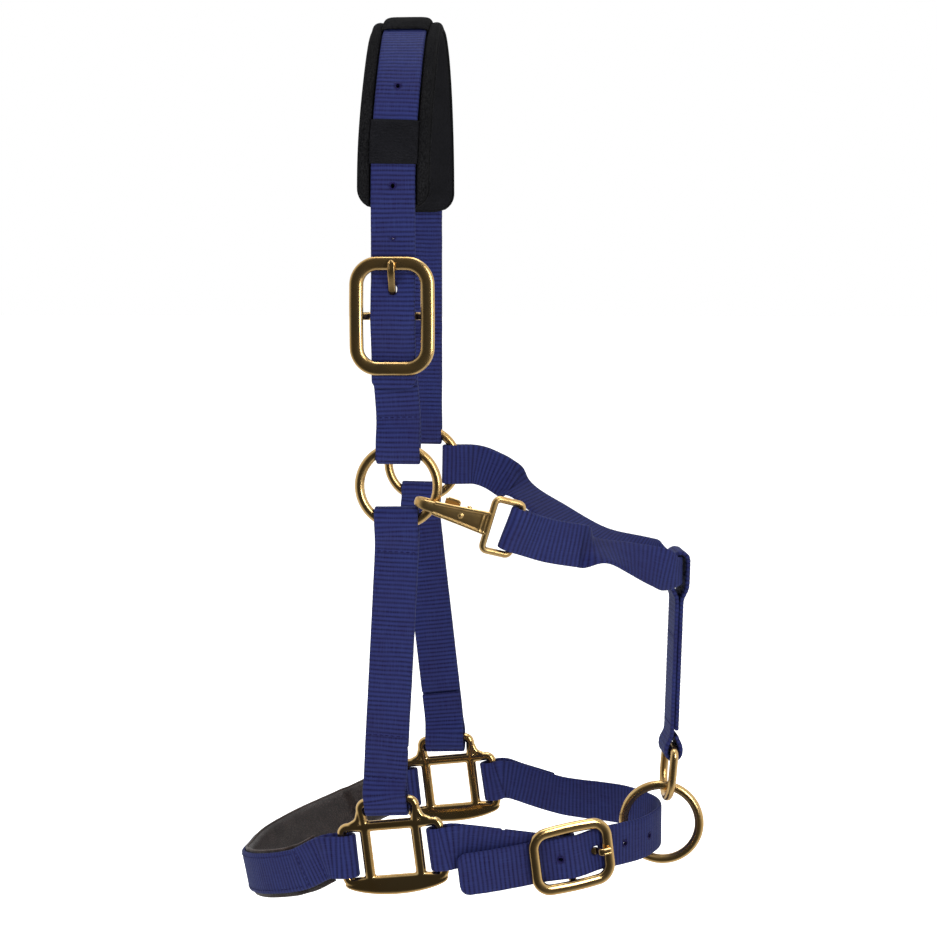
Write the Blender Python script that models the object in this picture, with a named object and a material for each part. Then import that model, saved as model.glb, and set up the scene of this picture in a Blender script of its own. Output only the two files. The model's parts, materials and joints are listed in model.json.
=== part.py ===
"""A horse's webbing halter, horse size: 25 mm nylon straps, solid brass fittings, padded crown and nose.

Metres, +Z up. The origin is where the crown pad rests on the poll, behind the ears. +X runs towards the
throat and chin, -X towards the nose, -Y to the horse's left, where the crown buckle and the throat snap are.
Every strap follows a Rail: a smooth line with a width direction. A strap is drawn flat, as (s, h) points,
with s along the rail and h outwards from it, and is then laid on the rail.
"""

import math

import bmesh
import bpy
from mathutils import Vector

MM = 0.001

# Webbing
WEB_WIDTH = 25.4 * MM
WEB_THICK = 2.3 * MM
GAP = 0.4 * MM
LAYER = (WEB_THICK + GAP) / 2
HOLE_RADIUS = 2.1 * MM
HOLE_PITCH = 29.3 * MM
CHIN_HOLE_PITCH = 22.0 * MM
TONGUE_HOLE = 14.8 * MM
TONGUE_SLOT = 5.6 * MM
TONGUE_SLOT_HALF = 3.5 * MM

# Brass
RING_RADIUS = 22.6 * MM
LEAD_RING_RADIUS = 23.2 * MM
RING_WIRE = 2.8 * MM
BAR = 2.75 * MM
HEEL_BAR = 2.3 * MM
SNAP_EYE_BAR = 2.0 * MM

# Places of the fittings
NEAR_RING = Vector((0.0, -75.0, -263.3)) * MM
FAR_RING = Vector((-10.7, 75.0, -263.7)) * MM
NEAR_SQUARE = Vector((-4.0, -75.0, -479.7)) * MM
FAR_SQUARE = Vector((7.6, 75.0, -477.4)) * MM
SQUARE_TILT = math.radians(7.0)
LEAD_RING = Vector((150.0, 0.0, -476.6)) * MM
CROWN_HEEL = Vector((-2.1, -82.7, -165.5)) * MM
THROAT_TURN = Vector((158.8, 0.0, -318.8)) * MM
TURN_WIDTH = 17.0 * MM

# Square: half sizes of the window and distance of the outer bars, all to the middle of the bars
WINDOW_X = 15.3 * MM
WINDOW_Z = 16.5 * MM
OUTER_STEP = 14.0 * MM
EAR_HALF = 16.7 * MM
WINDOW_CORNER = 3.2 * MM

# Crown
CROWN_SPRING_Z = -92.0 * MM
CROWN_TOP = 6.573 * MM
FOAM_THICK = 4.0 * MM
CROWN_MIDDLE = -1.2 * MM
CROWN_HALF = 76.2 * MM
BILLET_ASIDE = -2.2 * MM
PAD_WIDTH = 40.0 * MM
PAD_END_Z = -104.0 * MM
PAD_FAR_SHORT = 4.5 * MM
KEEPER_Z = -67.0 * MM
KEEPER_LENGTH = 25.0 * MM
POLL_KEEPER_LENGTH = 62.0 * MM
KEEPER_WALL = 1.1 * MM

# Crown strap: where it leaves the buckle strap and joins the doubled line, and the lap at the far ring
BILLET_LEAVES = 45.0 * MM
BILLET_JOINS = 75.0 * MM
CROWN_LAP = 62.0 * MM

X = Vector((1, 0, 0))
Y = Vector((0, 1, 0))
Z = Vector((0, 0, 1))
RING_AXIS = (FAR_RING - NEAR_RING).normalized()
CROSS = Vector((RING_AXIS.y, -RING_AXIS.x, 0)).normalized()


# ---------------------------------------------------------------- materials and objects


def material(name, colour, roughness, metallic=0.0):
    found = bpy.data.materials.get(name)
    if found:
        return found
    made = bpy.data.materials.new(name)
    made.use_nodes = True
    shader = made.node_tree.nodes["Principled BSDF"]
    shader.inputs["Base Color"].default_value = (*colour, 1.0)
    shader.inputs["Roughness"].default_value = roughness
    shader.inputs["Metallic"].default_value = metallic
    return made


def navy(name):
    return material(name + "_navy_webbing", (0.028, 0.022, 0.115), 0.75)


def brass(name):
    return material(name + "_brass", (0.72, 0.48, 0.2), 0.18, 1.0)


def black(name):
    return material(name + "_black_fabric", (0.008, 0.008, 0.009), 0.9)


def clear_scene():
    for obj in list(bpy.data.objects):
        bpy.data.objects.remove(obj, do_unlink=True)


def build(name, verts, faces, finish, pivot=Vector(), smooth=True):
    """An object whose origin is at pivot, from world points."""
    mesh = bpy.data.meshes.new(name)
    mesh.from_pydata([tuple(v - pivot) for v in verts], [], faces)
    bm = bmesh.new()
    bm.from_mesh(mesh)
    bmesh.ops.recalc_face_normals(bm, faces=bm.faces)
    bm.to_mesh(mesh)
    bm.free()
    mesh.materials.append(finish)
    if smooth:
        mesh.shade_smooth()
        mesh.set_sharp_from_angle(angle=math.radians(40))
    obj = bpy.data.objects.new(name, mesh)
    obj.location = pivot
    bpy.context.scene.collection.objects.link(obj)
    return obj


def hide_helper(obj):
    obj.hide_render = True
    obj.display_type = "WIRE"


def combine(base, others, operation):
    """Boolean of base with each helper in turn."""
    for other in others:
        modifier = base.modifiers.new(other.name, "BOOLEAN")
        modifier.operation = operation
        modifier.object = other
        hide_helper(other)
    return base


def empty(name, place):
    obj = bpy.data.objects.new(name, None)
    obj.location = place
    bpy.context.scene.collection.objects.link(obj)
    return obj


def hang(obj, parent, parent_place):
    """Parents obj, which keeps its place. Parents here are never rotated."""
    obj.parent = parent
    obj.location = obj.location - parent_place
    return obj


# ---------------------------------------------------------------- curves and sweeps


def catmull(points, steps):
    """A smooth curve through the points."""
    ends = [2 * points[0] - points[1], *points, 2 * points[-1] - points[-2]]
    curve = []
    for a, b, c, d in zip(ends, ends[1:], ends[2:], ends[3:]):
        for i in range(steps):
            t = i / steps
            curve.append(
                0.5
                * (2 * b + (c - a) * t + (2 * a - 5 * b + 4 * c - d) * t**2 + (3 * b - a - 3 * c + d) * t**3)
            )
    return [*curve, points[-1].copy()]


def smooth(t):
    t = min(max(t, 0.0), 1.0)
    return t * t * (3 - 2 * t)


class Rail:
    """A smooth line with a width direction along it. Beyond its ends it goes straight on."""

    def __init__(self, points, widths, steps=10):
        self.line = catmull(points, steps)
        across = catmull(widths, steps)
        self.s = [0.0]
        for a, b in zip(self.line, self.line[1:]):
            self.s.append(self.s[-1] + (b - a).length)
        last = len(self.line) - 1
        self.frames = []
        for i in range(last + 1):
            t = (self.line[min(i + 1, last)] - self.line[max(i - 1, 0)]).normalized()
            w = (across[i] - t * across[i].dot(t)).normalized()
            self.frames.append((t, w))

    @property
    def length(self):
        return self.s[-1]

    def at(self, s, h):
        """(point, width direction) at s along the rail and h outwards from it."""
        i = 0
        while i < len(self.s) - 2 and self.s[i + 1] < s:
            i += 1
        share = (s - self.s[i]) / (self.s[i + 1] - self.s[i])
        inside = min(max(share, 0.0), 1.0)
        t = self.frames[i][0].lerp(self.frames[i + 1][0], inside).normalized()
        w = self.frames[i][1].lerp(self.frames[i + 1][1], inside)
        w = (w - t * w.dot(t)).normalized()
        point = self.line[i].lerp(self.line[i + 1], inside)
        point = point + t * (share - inside) * (self.s[i + 1] - self.s[i])
        return point + w.cross(t) * h, w

    def nearest(self, place):
        """The s of the rail's point closest to place."""
        found = []
        for i, (a, b) in enumerate(zip(self.line, self.line[1:])):
            step = b - a
            share = min(max((place - a).dot(step) / step.length_squared, 0.0), 1.0)
            found.append(((a + step * share - place).length, self.s[i] + step.length * share))
        return min(found)[1]


def strap(name, rail, flat, finish, pivot=Vector(), width=lambda s: WEB_WIDTH):
    """A strip of webbing laid on the rail along flat (s, h) points. width(s) is less where it is gathered."""
    placed = [rail.at(s, h) for s, h in flat]
    last = len(placed) - 1
    verts = []
    for i, (point, w) in enumerate(placed):
        t = (placed[min(i + 1, last)][0] - placed[max(i - 1, 0)][0]).normalized()
        across = (w - t * w.dot(t)).normalized()
        out = across.cross(t)
        for a, b in ((-1, -1), (1, -1), (1, 1), (-1, 1)):
            verts.append(point + across * (a * width(flat[i][0]) / 2) + out * (b * WEB_THICK / 2))
    faces = []
    for i in range(last):
        for k in range(4):
            m = (k + 1) % 4
            faces.append((4 * i + k, 4 * i + m, 4 * i + 4 + m, 4 * i + 4 + k))
    faces += [(3, 2, 1, 0), tuple(4 * last + k for k in range(4))]
    return build(name, verts, faces, finish, pivot)


def eye(bar, way, radius, fold, hold, ease=12 * MM, into=-1, turns=8):
    """The flat points of a strap's end eye, in on the side into, round the bar and out on the other side.

    way is -1 for an eye at the rail's start and 1 at its end. fold is how far past the bar the bend is
    centred, hold how far back from the bar the two sides stay apart, and ease how long they then take to
    come together.
    """

    def side(h_sign, steps):
        found = []
        for k in range(steps + 1):
            t = k / steps
            height = LAYER + (radius - LAYER) * smooth(t)
            found.append((bar - way * (hold + ease * (1 - t)), h_sign * height))
        return found

    points = side(into, 5)
    for k in range(turns + 1):
        angle = math.pi * k / turns
        points.append((bar + way * (fold + radius * math.sin(angle)), into * radius * math.cos(angle)))
    return points + side(-into, 5)[::-1]


def ring_eye(bar, way, into, fold=4.5 * MM):
    """A roomy eye: the strap is flat and the ring's wire curves across it."""
    return eye(bar, way, 4.5 * MM, fold, 3.6 * MM, into=into)


def bar_eye(bar, way, into, radius=4.6 * MM):
    """The eye round the outer bar of a square."""
    return eye(bar, way, radius, 2.4 * MM, 3.2 * MM, into=into)


def run(start, stop, h, spacing=9 * MM, bump=None):
    """Flat points from start to stop at height h, or at a height that changes from h[0] to h[1]."""
    h0, h1 = h if isinstance(h, tuple) else (h, h)
    count = max(1, math.ceil(abs(stop - start) / spacing))
    points = []
    for k in range(count + 1):
        s = start + (stop - start) * k / count
        height = h0 + (h1 - h0) * smooth(k / count)
        points.append((s, height + (bump(s) if bump else 0.0)))
    return points


def tidy(points, least=0.8 * MM):
    """Drops points that nearly repeat the one before."""
    kept = [points[0]]
    for p in points[1:]:
        if math.dist(p, kept[-1]) > least:
            kept.append(p)
    return kept


def rod(name, path, normal, half, finish, closed=False, pivot=Vector(), sides=8):
    """A bar swept along a flat path. half(i) gives its half sizes in the path's plane and across it."""
    count = len(path)
    verts = []
    for i, point in enumerate(path):
        before = path[i - 1] if closed or i else path[0]
        after = path[(i + 1) % count] if closed or i < count - 1 else path[-1]
        side = (after - before).normalized().cross(normal)
        in_plane, deep = half(i)
        for k in range(sides):
            angle = 2 * math.pi * (k + 0.5) / sides
            verts.append(point + side * (in_plane * math.cos(angle)) + normal * (deep * math.sin(angle)))
    faces = []
    for i in range(count if closed else count - 1):
        for k in range(sides):
            m = (k + 1) % sides
            j = (i + 1) % count
            faces.append((sides * i + k, sides * i + m, sides * j + m, sides * j + k))
    if not closed:
        faces += [tuple(range(sides))[::-1], tuple(sides * (count - 1) + k for k in range(sides))]
    return build(name, verts, faces, finish, pivot)


def turn_between(a, b, share):
    """The arm a swung towards the equally long arm b by a share of the angle between them."""
    angle = a.angle(b)
    if angle < 1e-6:
        return a.copy()
    return (a * math.sin((1 - share) * angle) + b * math.sin(share * angle)) / math.sin(angle)


def round_corners(corners, radius, closed, steps=4):
    """A path through flat corners, each one rounded by an arc."""
    count = len(corners)
    path = []
    for i, corner in enumerate(corners):
        if not closed and i in (0, count - 1):
            path.append(corner)
            continue
        back = (corners[i - 1] - corner).normalized()
        ahead = (corners[(i + 1) % count] - corner).normalized()
        half_angle = math.acos(max(-1.0, min(1.0, back.dot(ahead)))) / 2
        trim = radius / math.tan(half_angle)
        centre = corner + (back + ahead).normalized() * (radius / math.sin(half_angle))
        a = corner + back * trim - centre
        b = corner + ahead * trim - centre
        for k in range(steps + 1):
            path.append(centre + turn_between(a, b, k / steps))
    return path


def torus(name, centre, axis, radius, wire, finish, around=32, sides=8):
    side = axis.cross(Z).normalized()
    up = side.cross(axis)
    path = []
    for k in range(around):
        angle = 2 * math.pi * k / around
        path.append(centre + side * (radius * math.cos(angle)) + up * (radius * math.sin(angle)))
    return rod(name, path, axis, lambda i: (wire, wire), finish, True, centre, sides)


def block(name, frame, low, high, finish):
    """A box between two corners in a local frame of (origin, three axes)."""
    origin, a, b, c = frame
    verts = []
    for k in (low[2], high[2]):
        for i, j in ((low[0], low[1]), (high[0], low[1]), (high[0], high[1]), (low[0], high[1])):
            verts.append(origin + a * i + b * j + c * k)
    faces = [(0, 3, 2, 1), (4, 5, 6, 7), (0, 1, 5, 4), (1, 2, 6, 5), (2, 3, 7, 6), (3, 0, 4, 7)]
    return build(name, verts, faces, finish, smooth=False)


def punch(name, rail, s, finish, long=HOLE_RADIUS, radius=HOLE_RADIUS):
    """A cutter for a hole through the strap at s on the rail. long is its half length along the strap."""
    point, w = rail.at(s, 0)
    ahead, _ = rail.at(s + MM, 0)
    t = (ahead - point).normalized()
    out = w.cross(t)
    sides = 12
    verts = []
    for depth in (-8 * MM, 8 * MM):
        for k in range(sides):
            angle = 2 * math.pi * k / sides
            verts.append(point + t * (long * math.cos(angle)) + w * (radius * math.sin(angle)) + out * depth)
    faces = [(k, (k + 1) % sides, sides + (k + 1) % sides, sides + k) for k in range(sides)]
    faces += [tuple(range(sides))[::-1], tuple(sides + k for k in range(sides))]
    return build(name, verts, faces, finish, smooth=False)


def loft(name, rail, stations, profile, finish):
    """A solid along the rail. profile(s) gives its (across, out) outline at s."""
    verts = []
    for s in stations:
        point, w = rail.at(s, 0)
        back, _ = rail.at(s - MM, 0)
        ahead, _ = rail.at(s + MM, 0)
        out = w.cross((ahead - back).normalized())
        outline = profile(s)
        verts += [point + w * a + out * h for a, h in outline]
    n = len(outline)
    last = len(stations) - 1
    faces = []
    for i in range(last):
        for k in range(n):
            m = (k + 1) % n
            faces.append((n * i + k, n * i + m, n * i + n + m, n * i + n + k))
    faces += [tuple(range(n))[::-1], tuple(n * last + k for k in range(n))]
    return build(name, verts, faces, finish)


# ---------------------------------------------------------------- rings and squares


def cheek_rings():
    return [
        torus("near_cheek_ring", NEAR_RING, RING_AXIS, RING_RADIUS, RING_WIRE, brass("near_cheek_ring")),
        torus("far_cheek_ring", FAR_RING, RING_AXIS, RING_RADIUS, RING_WIRE, brass("far_cheek_ring")),
    ]


def square_axes():
    """The square's own right and up directions, tilted nose down."""
    right = Vector((math.cos(SQUARE_TILT), 0, math.sin(SQUARE_TILT)))
    up = Vector((-math.sin(SQUARE_TILT), 0, math.cos(SQUARE_TILT)))
    return right, up


def square(name, centre):
    """A cast halter square: a window, three outer bars for the straps and a heavier curved foot."""
    finish = brass(name)
    right, up = square_axes()

    def path(points, closed, radius=3.0 * MM, steps=3):
        corners = [centre + right * (x * MM) + up * (z * MM) for x, z in points]
        return round_corners(corners, radius, closed, steps)

    wx, wz, step = WINDOW_X / MM, WINDOW_Z / MM, OUTER_STEP / MM
    ear = EAR_HALF / MM

    def even(_):
        return BAR, BAR

    window_path = path(((-wx, -wz), (wx, -wz), (wx, wz), (-wx, wz)), True, WINDOW_CORNER)
    window = rod(name, window_path, Y, even, finish, True)
    helpers = []
    loops = {
        "top": ((-wx, wz - 1), (-ear, wz + step), (ear, wz + step), (wx, wz - 1)),
        "left": ((-wx + 1, wz - 0.5), (-wx - step, ear), (-wx - step, -ear), (-wx + 1, -wz + 0.5)),
        "right": ((wx - 1, wz - 0.5), (wx + step, ear), (wx + step, -ear), (wx - 1, -wz + 0.5)),
    }
    for side, points in loops.items():
        helpers.append(rod(f"{name}_{side}_loop", path(points, False), Y, even, finish))
    count = 13
    foot = []
    for k in range(count):
        x = (wx + step + 1.0) * (2 * k / (count - 1) - 1)
        sag = 1 - (x / (wx + step + 1.0)) ** 2
        foot.append(centre + right * (x * MM) + up * ((-wz - 0.6 - 2.6 * sag) * MM))

    def foot_half(i):
        x = 2 * i / (count - 1) - 1
        return (2.3 + 3.1 * (1 - x * x) ** 0.5) * MM, (2.6 + 0.5 * (1 - x * x)) * MM

    helpers.append(rod(f"{name}_foot", foot, Y, foot_half, finish))
    return combine(window, helpers, "UNION")


def bar_place(centre, side):
    """The middle of a square's outer bar."""
    right, up = square_axes()
    if side == "top":
        return centre + up * (WINDOW_Z + OUTER_STEP)
    sign = -1 if side == "left" else 1
    return centre + right * (sign * (WINDOW_X + OUTER_STEP))


# ---------------------------------------------------------------- buckles


HEEL_DEPTH = 5.6 * MM
FRAME_HALF_DEPTH = 2.2 * MM
BILLET_BEHIND = FRAME_HALF_DEPTH + GAP + WEB_THICK / 2
BILLET_OVER = -HEEL_DEPTH + HEEL_BAR + 2 * (GAP + WEB_THICK) - WEB_THICK / 2
KEEPER_STACK = BILLET_BEHIND + 1.5 * (WEB_THICK + GAP)


class Buckle:
    """Sizes and the local frame of a heel-bar buckle: u towards the tongue's tip, w across, h outwards."""

    def __init__(self, name, place, u, h, half_u, half_w, bar_half, corner, bulge):
        self.name = name
        self.place = place
        self.u = u.normalized()
        self.h = (h - self.u * h.dot(self.u)).normalized()
        self.w = self.u.cross(self.h)
        self.half_u = half_u
        self.half_w = half_w
        self.bar_half = bar_half
        self.corner = corner
        self.bulge = bulge

    def point(self, u, w, h):
        return self.place + self.u * u + self.w * w + self.h * h

    def frame(self):
        """The frame with its recessed heel bar."""
        finish = brass(self.name + "_frame")
        flat = [
            Vector((a * self.half_w, b * self.half_u, 0)) for a, b in ((-1, -1), (1, -1), (1, 1), (-1, 1))
        ]
        path = []
        for p in round_corners(flat, self.corner, True, 6):
            swell = 1 + self.bulge * (1 - (p.y / self.half_u) ** 2)
            path.append(self.point(p.y, p.x * swell, 0))
        outer = rod(
            self.name + "_frame",
            path,
            self.h,
            lambda i: (self.bar_half, FRAME_HALF_DEPTH),
            finish,
            True,
            sides=10,
        )
        reach = self.half_w * (1 + self.bulge)
        knee = WEB_WIDTH / 2 + 1.6 * MM
        corners = [
            self.point(0, -reach, 0),
            self.point(0, -knee, -HEEL_DEPTH),
            self.point(0, knee, -HEEL_DEPTH),
            self.point(0, reach, 0),
        ]
        heel = rod(
            self.name + "_heel_bar",
            round_corners(corners, 1.5 * MM, False, 3),
            self.u,
            lambda i: (HEEL_BAR, HEEL_BAR),
            finish,
        )
        return combine(outer, [heel], "UNION")

    def tongue(self):
        """A tongue that turns on the heel bar and rests on the frame's end bar."""
        finish = brass(self.name + "_tongue")
        pivot = self.point(0, 0, -HEEL_DEPTH)
        ring = HEEL_BAR + GAP + 1.0 * MM
        path = []
        for k in range(11):
            angle = math.radians(60 - 29 * k)
            path.append(self.point(ring * math.sin(angle), 0, -HEEL_DEPTH + ring * math.cos(angle)))
        rest = FRAME_HALF_DEPTH + GAP + 1.1 * MM
        shank = catmull(
            [
                self.point(ring * 0.95, 0, -HEEL_DEPTH + ring * 0.3),
                self.point(9 * MM, 0, -3.6 * MM),
                self.point(15.5 * MM, 0, -1.0 * MM),
                self.point(self.half_u - 6 * MM, 0, rest - 0.5 * MM),
                self.point(self.half_u - 1.5 * MM, 0, rest + 0.1 * MM),
                self.point(self.half_u + 1.8 * MM, 0, rest - 0.1 * MM),
            ],
            2,
        )
        last = len(shank) - 1

        def shank_half(i):
            taper = 0.55 if i == last else 1.0
            return 1.05 * MM * taper, (2.5 - 0.5 * i / last) * MM * taper

        name = self.name + "_tongue"
        collar = rod(name, path, self.w, lambda i: (1.0 * MM, 2.5 * MM), finish, False, pivot, 8)
        stem = rod(self.name + "_tongue_stem", shank, self.w, shank_half, finish, False, pivot, 8)
        return combine(collar, [stem], "UNION")

    def slot_cutter(self, name):
        """Clears the middle of the buckle strap's fold for the tongue."""
        frame = (self.place - self.h * HEEL_DEPTH, self.u, self.w, self.h)
        return block(
            name,
            frame,
            (-8.5 * MM, -3.4 * MM, -8 * MM),
            (9 * MM, 3.4 * MM, 8 * MM),
            black("helper"),
        )

    def billet_bump(self, heel_s):
        """How far the billet lifts off its rail to ride over the heel bar."""
        rise = BILLET_OVER + BILLET_BEHIND
        reach = self.half_u - 2.5 * MM

        def bump(s):
            share = min(abs(s - heel_s) / reach, 1.0)
            return rise * math.cos(math.pi / 2 * share) ** 2

        return bump


CROWN_BUCKLE = Buckle(
    "crown_buckle", CROWN_HEEL, Z, -RING_AXIS, 30.0 * MM, 20.2 * MM, 3.9 * MM, 12.0 * MM, 0.02
)


# ---------------------------------------------------------------- crown


def crown_place(q, z, aside=0.0):
    """A point of the crown's plane: q across the head, z up, and aside towards the throat."""
    return NEAR_RING + RING_AXIS * (q - NEAR_RING.y) + Z * (z - NEAR_RING.z) + CROSS * aside


def crown_rail():
    """Up the near cheek, over the poll and down to the far ring, square to the line between the rings."""
    middle = CROWN_MIDDLE
    points = [crown_place(middle - CROWN_HALF, z * MM, BILLET_ASIDE) for z in (-207, -181, -153, -122)]
    count = 14
    for k in range(count + 1):
        angle = math.pi * k / count
        q = middle - CROWN_HALF * math.cos(angle)
        z = CROWN_SPRING_Z + (CROWN_TOP - CROWN_SPRING_Z) * math.sin(angle)
        points.append(crown_place(q, z, BILLET_ASIDE * (1 - smooth(k / 4))))
    far = middle + CROWN_HALF
    points += [crown_place(far, z * MM) for z in (-125, -165, -205)]
    points.append(FAR_RING + Z * RING_RADIUS - CROSS * (0.3 * MM))
    return Rail(points, [CROSS.copy() for _ in points], 5)


def crown_parts():
    rail = crown_rail()
    heel_s = rail.nearest(CROWN_HEEL)
    bump = CROWN_BUCKLE.billet_bump(heel_s)
    end = rail.length
    behind = -CROWN_HEEL.y - BILLET_BEHIND - (CROWN_HALF - CROWN_MIDDLE)
    leaves, joins = heel_s + BILLET_LEAVES, heel_s + BILLET_JOINS
    flat = run(0, leaves, (behind, behind), 5 * MM, bump)
    flat += run(leaves, joins, (behind, LAYER), 8 * MM)[1:]
    flat += run(joins, end - 20 * MM, LAYER, 11 * MM)[1:]
    flat += ring_eye(end, 1, 1)
    flat += run(end - 20 * MM, end - CROWN_LAP, -LAYER)[1:]
    crown = strap("crown_strap", rail, tidy(flat), navy("crown_strap"))
    holes = []
    for k in range(5):
        s = heel_s + TONGUE_HOLE + k * HOLE_PITCH
        long = TONGUE_SLOT if k == 0 else HOLE_RADIUS
        wide = TONGUE_SLOT_HALF if k == 0 else HOLE_RADIUS
        holes.append(punch(f"crown_hole_{k}", rail, s, black("helper"), long, wide))
    combine(crown, holes, "DIFFERENCE")
    return rail, crown


def pad_stations(rail):
    """Where the crown pad's cross-sections lie: even about the poll, but drawn up a little at the far end."""
    top = rail.nearest(crown_place(CROWN_MIDDLE, CROWN_TOP))
    first = rail.nearest(crown_place(CROWN_MIDDLE - CROWN_HALF, PAD_END_Z, BILLET_ASIDE))
    half = top - first
    count = 34
    stations = []
    for k in range(count):
        share = 2 * k / (count - 1) - 1
        stations.append(top + half * share - PAD_FAR_SHORT * smooth((share - 0.5) / 0.5))
    return top, stations


def pad_parts(rail):
    """Crown pad: a foam cushion, a fabric cover with a channel for the strap, and three keepers."""
    top, stations = pad_stations(rail)

    def width_at(s):
        """Half width, drawn in round the pad's ends."""
        left = max(min(s - stations[0], stations[-1] - s), 0.0)
        corner = 11 * MM
        if left >= corner:
            return PAD_WIDTH / 2
        return PAD_WIDTH / 2 - 4.4 * MM * (1 - math.sqrt(1 - (1 - left / corner) ** 2))

    def cover(s):
        a = width_at(s)
        c = WEB_WIDTH / 2 + 1.2 * MM
        floor = LAYER - WEB_THICK / 2 - GAP
        edge = 1.9 * MM
        under = floor - 1.6 * MM
        right = [(a, under), (a, edge - 1.0 * MM), (a - 0.7 * MM, edge), (c + 0.6 * MM, edge), (c, floor)]
        return right + [(-w, h) for w, h in right[::-1]]

    def foam(s):
        a = width_at(s) - 0.6 * MM
        top_h = LAYER - WEB_THICK / 2 - GAP - 1.6 * MM - GAP
        low = top_h - FOAM_THICK
        right = [(a, top_h), (a, low + 1.8 * MM), (a - 1.6 * MM, low)]
        return right + [(-w, h) for w, h in right[::-1]]

    pads = [
        loft("crown_pad_cover", rail, stations, cover, black("crown_pad_cover")),
        loft("crown_pad_foam", rail, stations, foam, black("crown_pad_foam")),
    ]
    near = rail.nearest(crown_place(CROWN_MIDDLE - CROWN_HALF, KEEPER_Z))
    places = {
        "near_keeper": (near, KEEPER_LENGTH, 0.0),
        "poll_keeper": (top, POLL_KEEPER_LENGTH, 1.2 * MM),
        "far_keeper": (2 * top - near, KEEPER_LENGTH, 0.0),
    }
    for name, (s, length, proud) in places.items():
        count = max(3, round(length / (6 * MM)))
        along = [s + length * (k / count - 0.5) for k in range(count + 1)]

        def arch(_, proud=proud):
            a = WEB_WIDTH / 2 + 0.65 * MM
            inner = LAYER + WEB_THICK / 2 + GAP + proud
            foot = LAYER - WEB_THICK / 2 - GAP + 0.35 * MM
            wide = a + 0.45 * MM
            outside = [(wide, foot), (wide, inner + 0.2 * MM), (a - 0.8 * MM, inner + KEEPER_WALL)]
            inside = [(a - 1.2 * MM, inner), (a - 0.1 * MM, inner - 0.6 * MM), (a - 0.1 * MM, foot)]
            outline = outside + [(-w, h) for w, h in outside[::-1]]
            outline += [(-w, h) for w, h in inside[::-1]] + inside
            return outline

        pads.append(loft(name, rail, along, arch, black(name)))
    return pads


def heel_fold(end, way, into, shift, straight=11 * MM):
    """The eye that a doubled strap makes round a heel bar, which lies shift outwards from its middle."""
    points = []
    for s, h in eye(end, way, HEEL_BAR + GAP + WEB_THICK / 2, 0, 2.0 * MM, 9 * MM, into=into):
        share = 1 - smooth((way * (end - s) - 2.5 * MM) / (straight - 2.5 * MM))
        points.append((s, h + shift * share))
    return points


def crown_buckle_strap():
    """The short doubled strap between the crown buckle's heel bar and the near ring."""
    top = CROWN_BUCKLE.point(0, 0, -KEEPER_STACK)
    foot = NEAR_RING + Z * RING_RADIUS
    points = [top, top - Z * (20 * MM), foot + Z * (20 * MM), foot]
    rail = Rail(points, [-CROSS] * 4)
    end = rail.length
    join = end * 0.45
    flat = run(join, 11 * MM, -LAYER)[:-1]
    flat += heel_fold(0, -1, -1, KEEPER_STACK - HEEL_DEPTH)
    flat += run(11 * MM, end - 15.6 * MM, LAYER)[1:]
    flat += ring_eye(end, 1, 1)
    flat += run(end - 15.6 * MM, join + 1 * MM, -LAYER)[1:]
    made = strap("crown_buckle_strap", rail, tidy(flat), navy("crown_buckle_strap"))
    return combine(made, [CROWN_BUCKLE.slot_cutter("crown_buckle_slot")], "DIFFERENCE")


# ---------------------------------------------------------------- cheeks and noseband


def cheek_strap(name, ring, centre, outwards):
    """A doubled strap from a cheek ring down to the top bar of its square. Its ends meet on the inside."""
    top = ring - Z * RING_RADIUS - X * (1.1 * MM)
    foot = bar_place(centre, "top")
    right, up = square_axes()
    right, up = right.lerp(X, 0.6).normalized(), up.lerp(Z, 0.6).normalized()
    across = CROSS * outwards
    below, above = top - Z * (14 * MM), foot + up * (14 * MM)
    points = [top, below, below.lerp(above, 0.5), above, foot]
    rail = Rail(points, [across, across, across, right * outwards, right * outwards])
    end = rail.length
    join = end * 0.8
    flat = run(join, 15.6 * MM, -LAYER, 20 * MM)[:-1]
    flat += ring_eye(0, -1, -1, 5.3 * MM)
    flat += run(15.6 * MM, end - 15.2 * MM, LAYER, 20 * MM)[1:]
    flat += bar_eye(end, 1, 1, 5.1 * MM)
    flat += run(end - 15.2 * MM, join + 1 * MM, -LAYER, 20 * MM)[1:]
    return strap(name, rail, tidy(flat), navy(name))


def nose_rail():
    near = bar_place(NEAR_SQUARE, "left")
    far = bar_place(FAR_SQUARE, "left")
    right, up = square_axes()
    lean = Vector((-0.2, 0, 1)).normalized()
    side = [Vector(p) * MM for p in ((-63, -66, -495.5), (-88, -48, -504.5), (-104, -24, -510.5))]
    points = [near, near - right * (12 * MM), *side, Vector((-107.5, 0, -513)) * MM]
    points += [Vector((p.x, -p.y, p.z)) for p in side[::-1]] + [far - right * (12 * MM), far]
    return Rail(points, [up, up] + [lean] * 7 + [up, up], 8)


NOSE_LAP = 34 * MM
NOSE_PAD_START = 14 * MM


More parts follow.
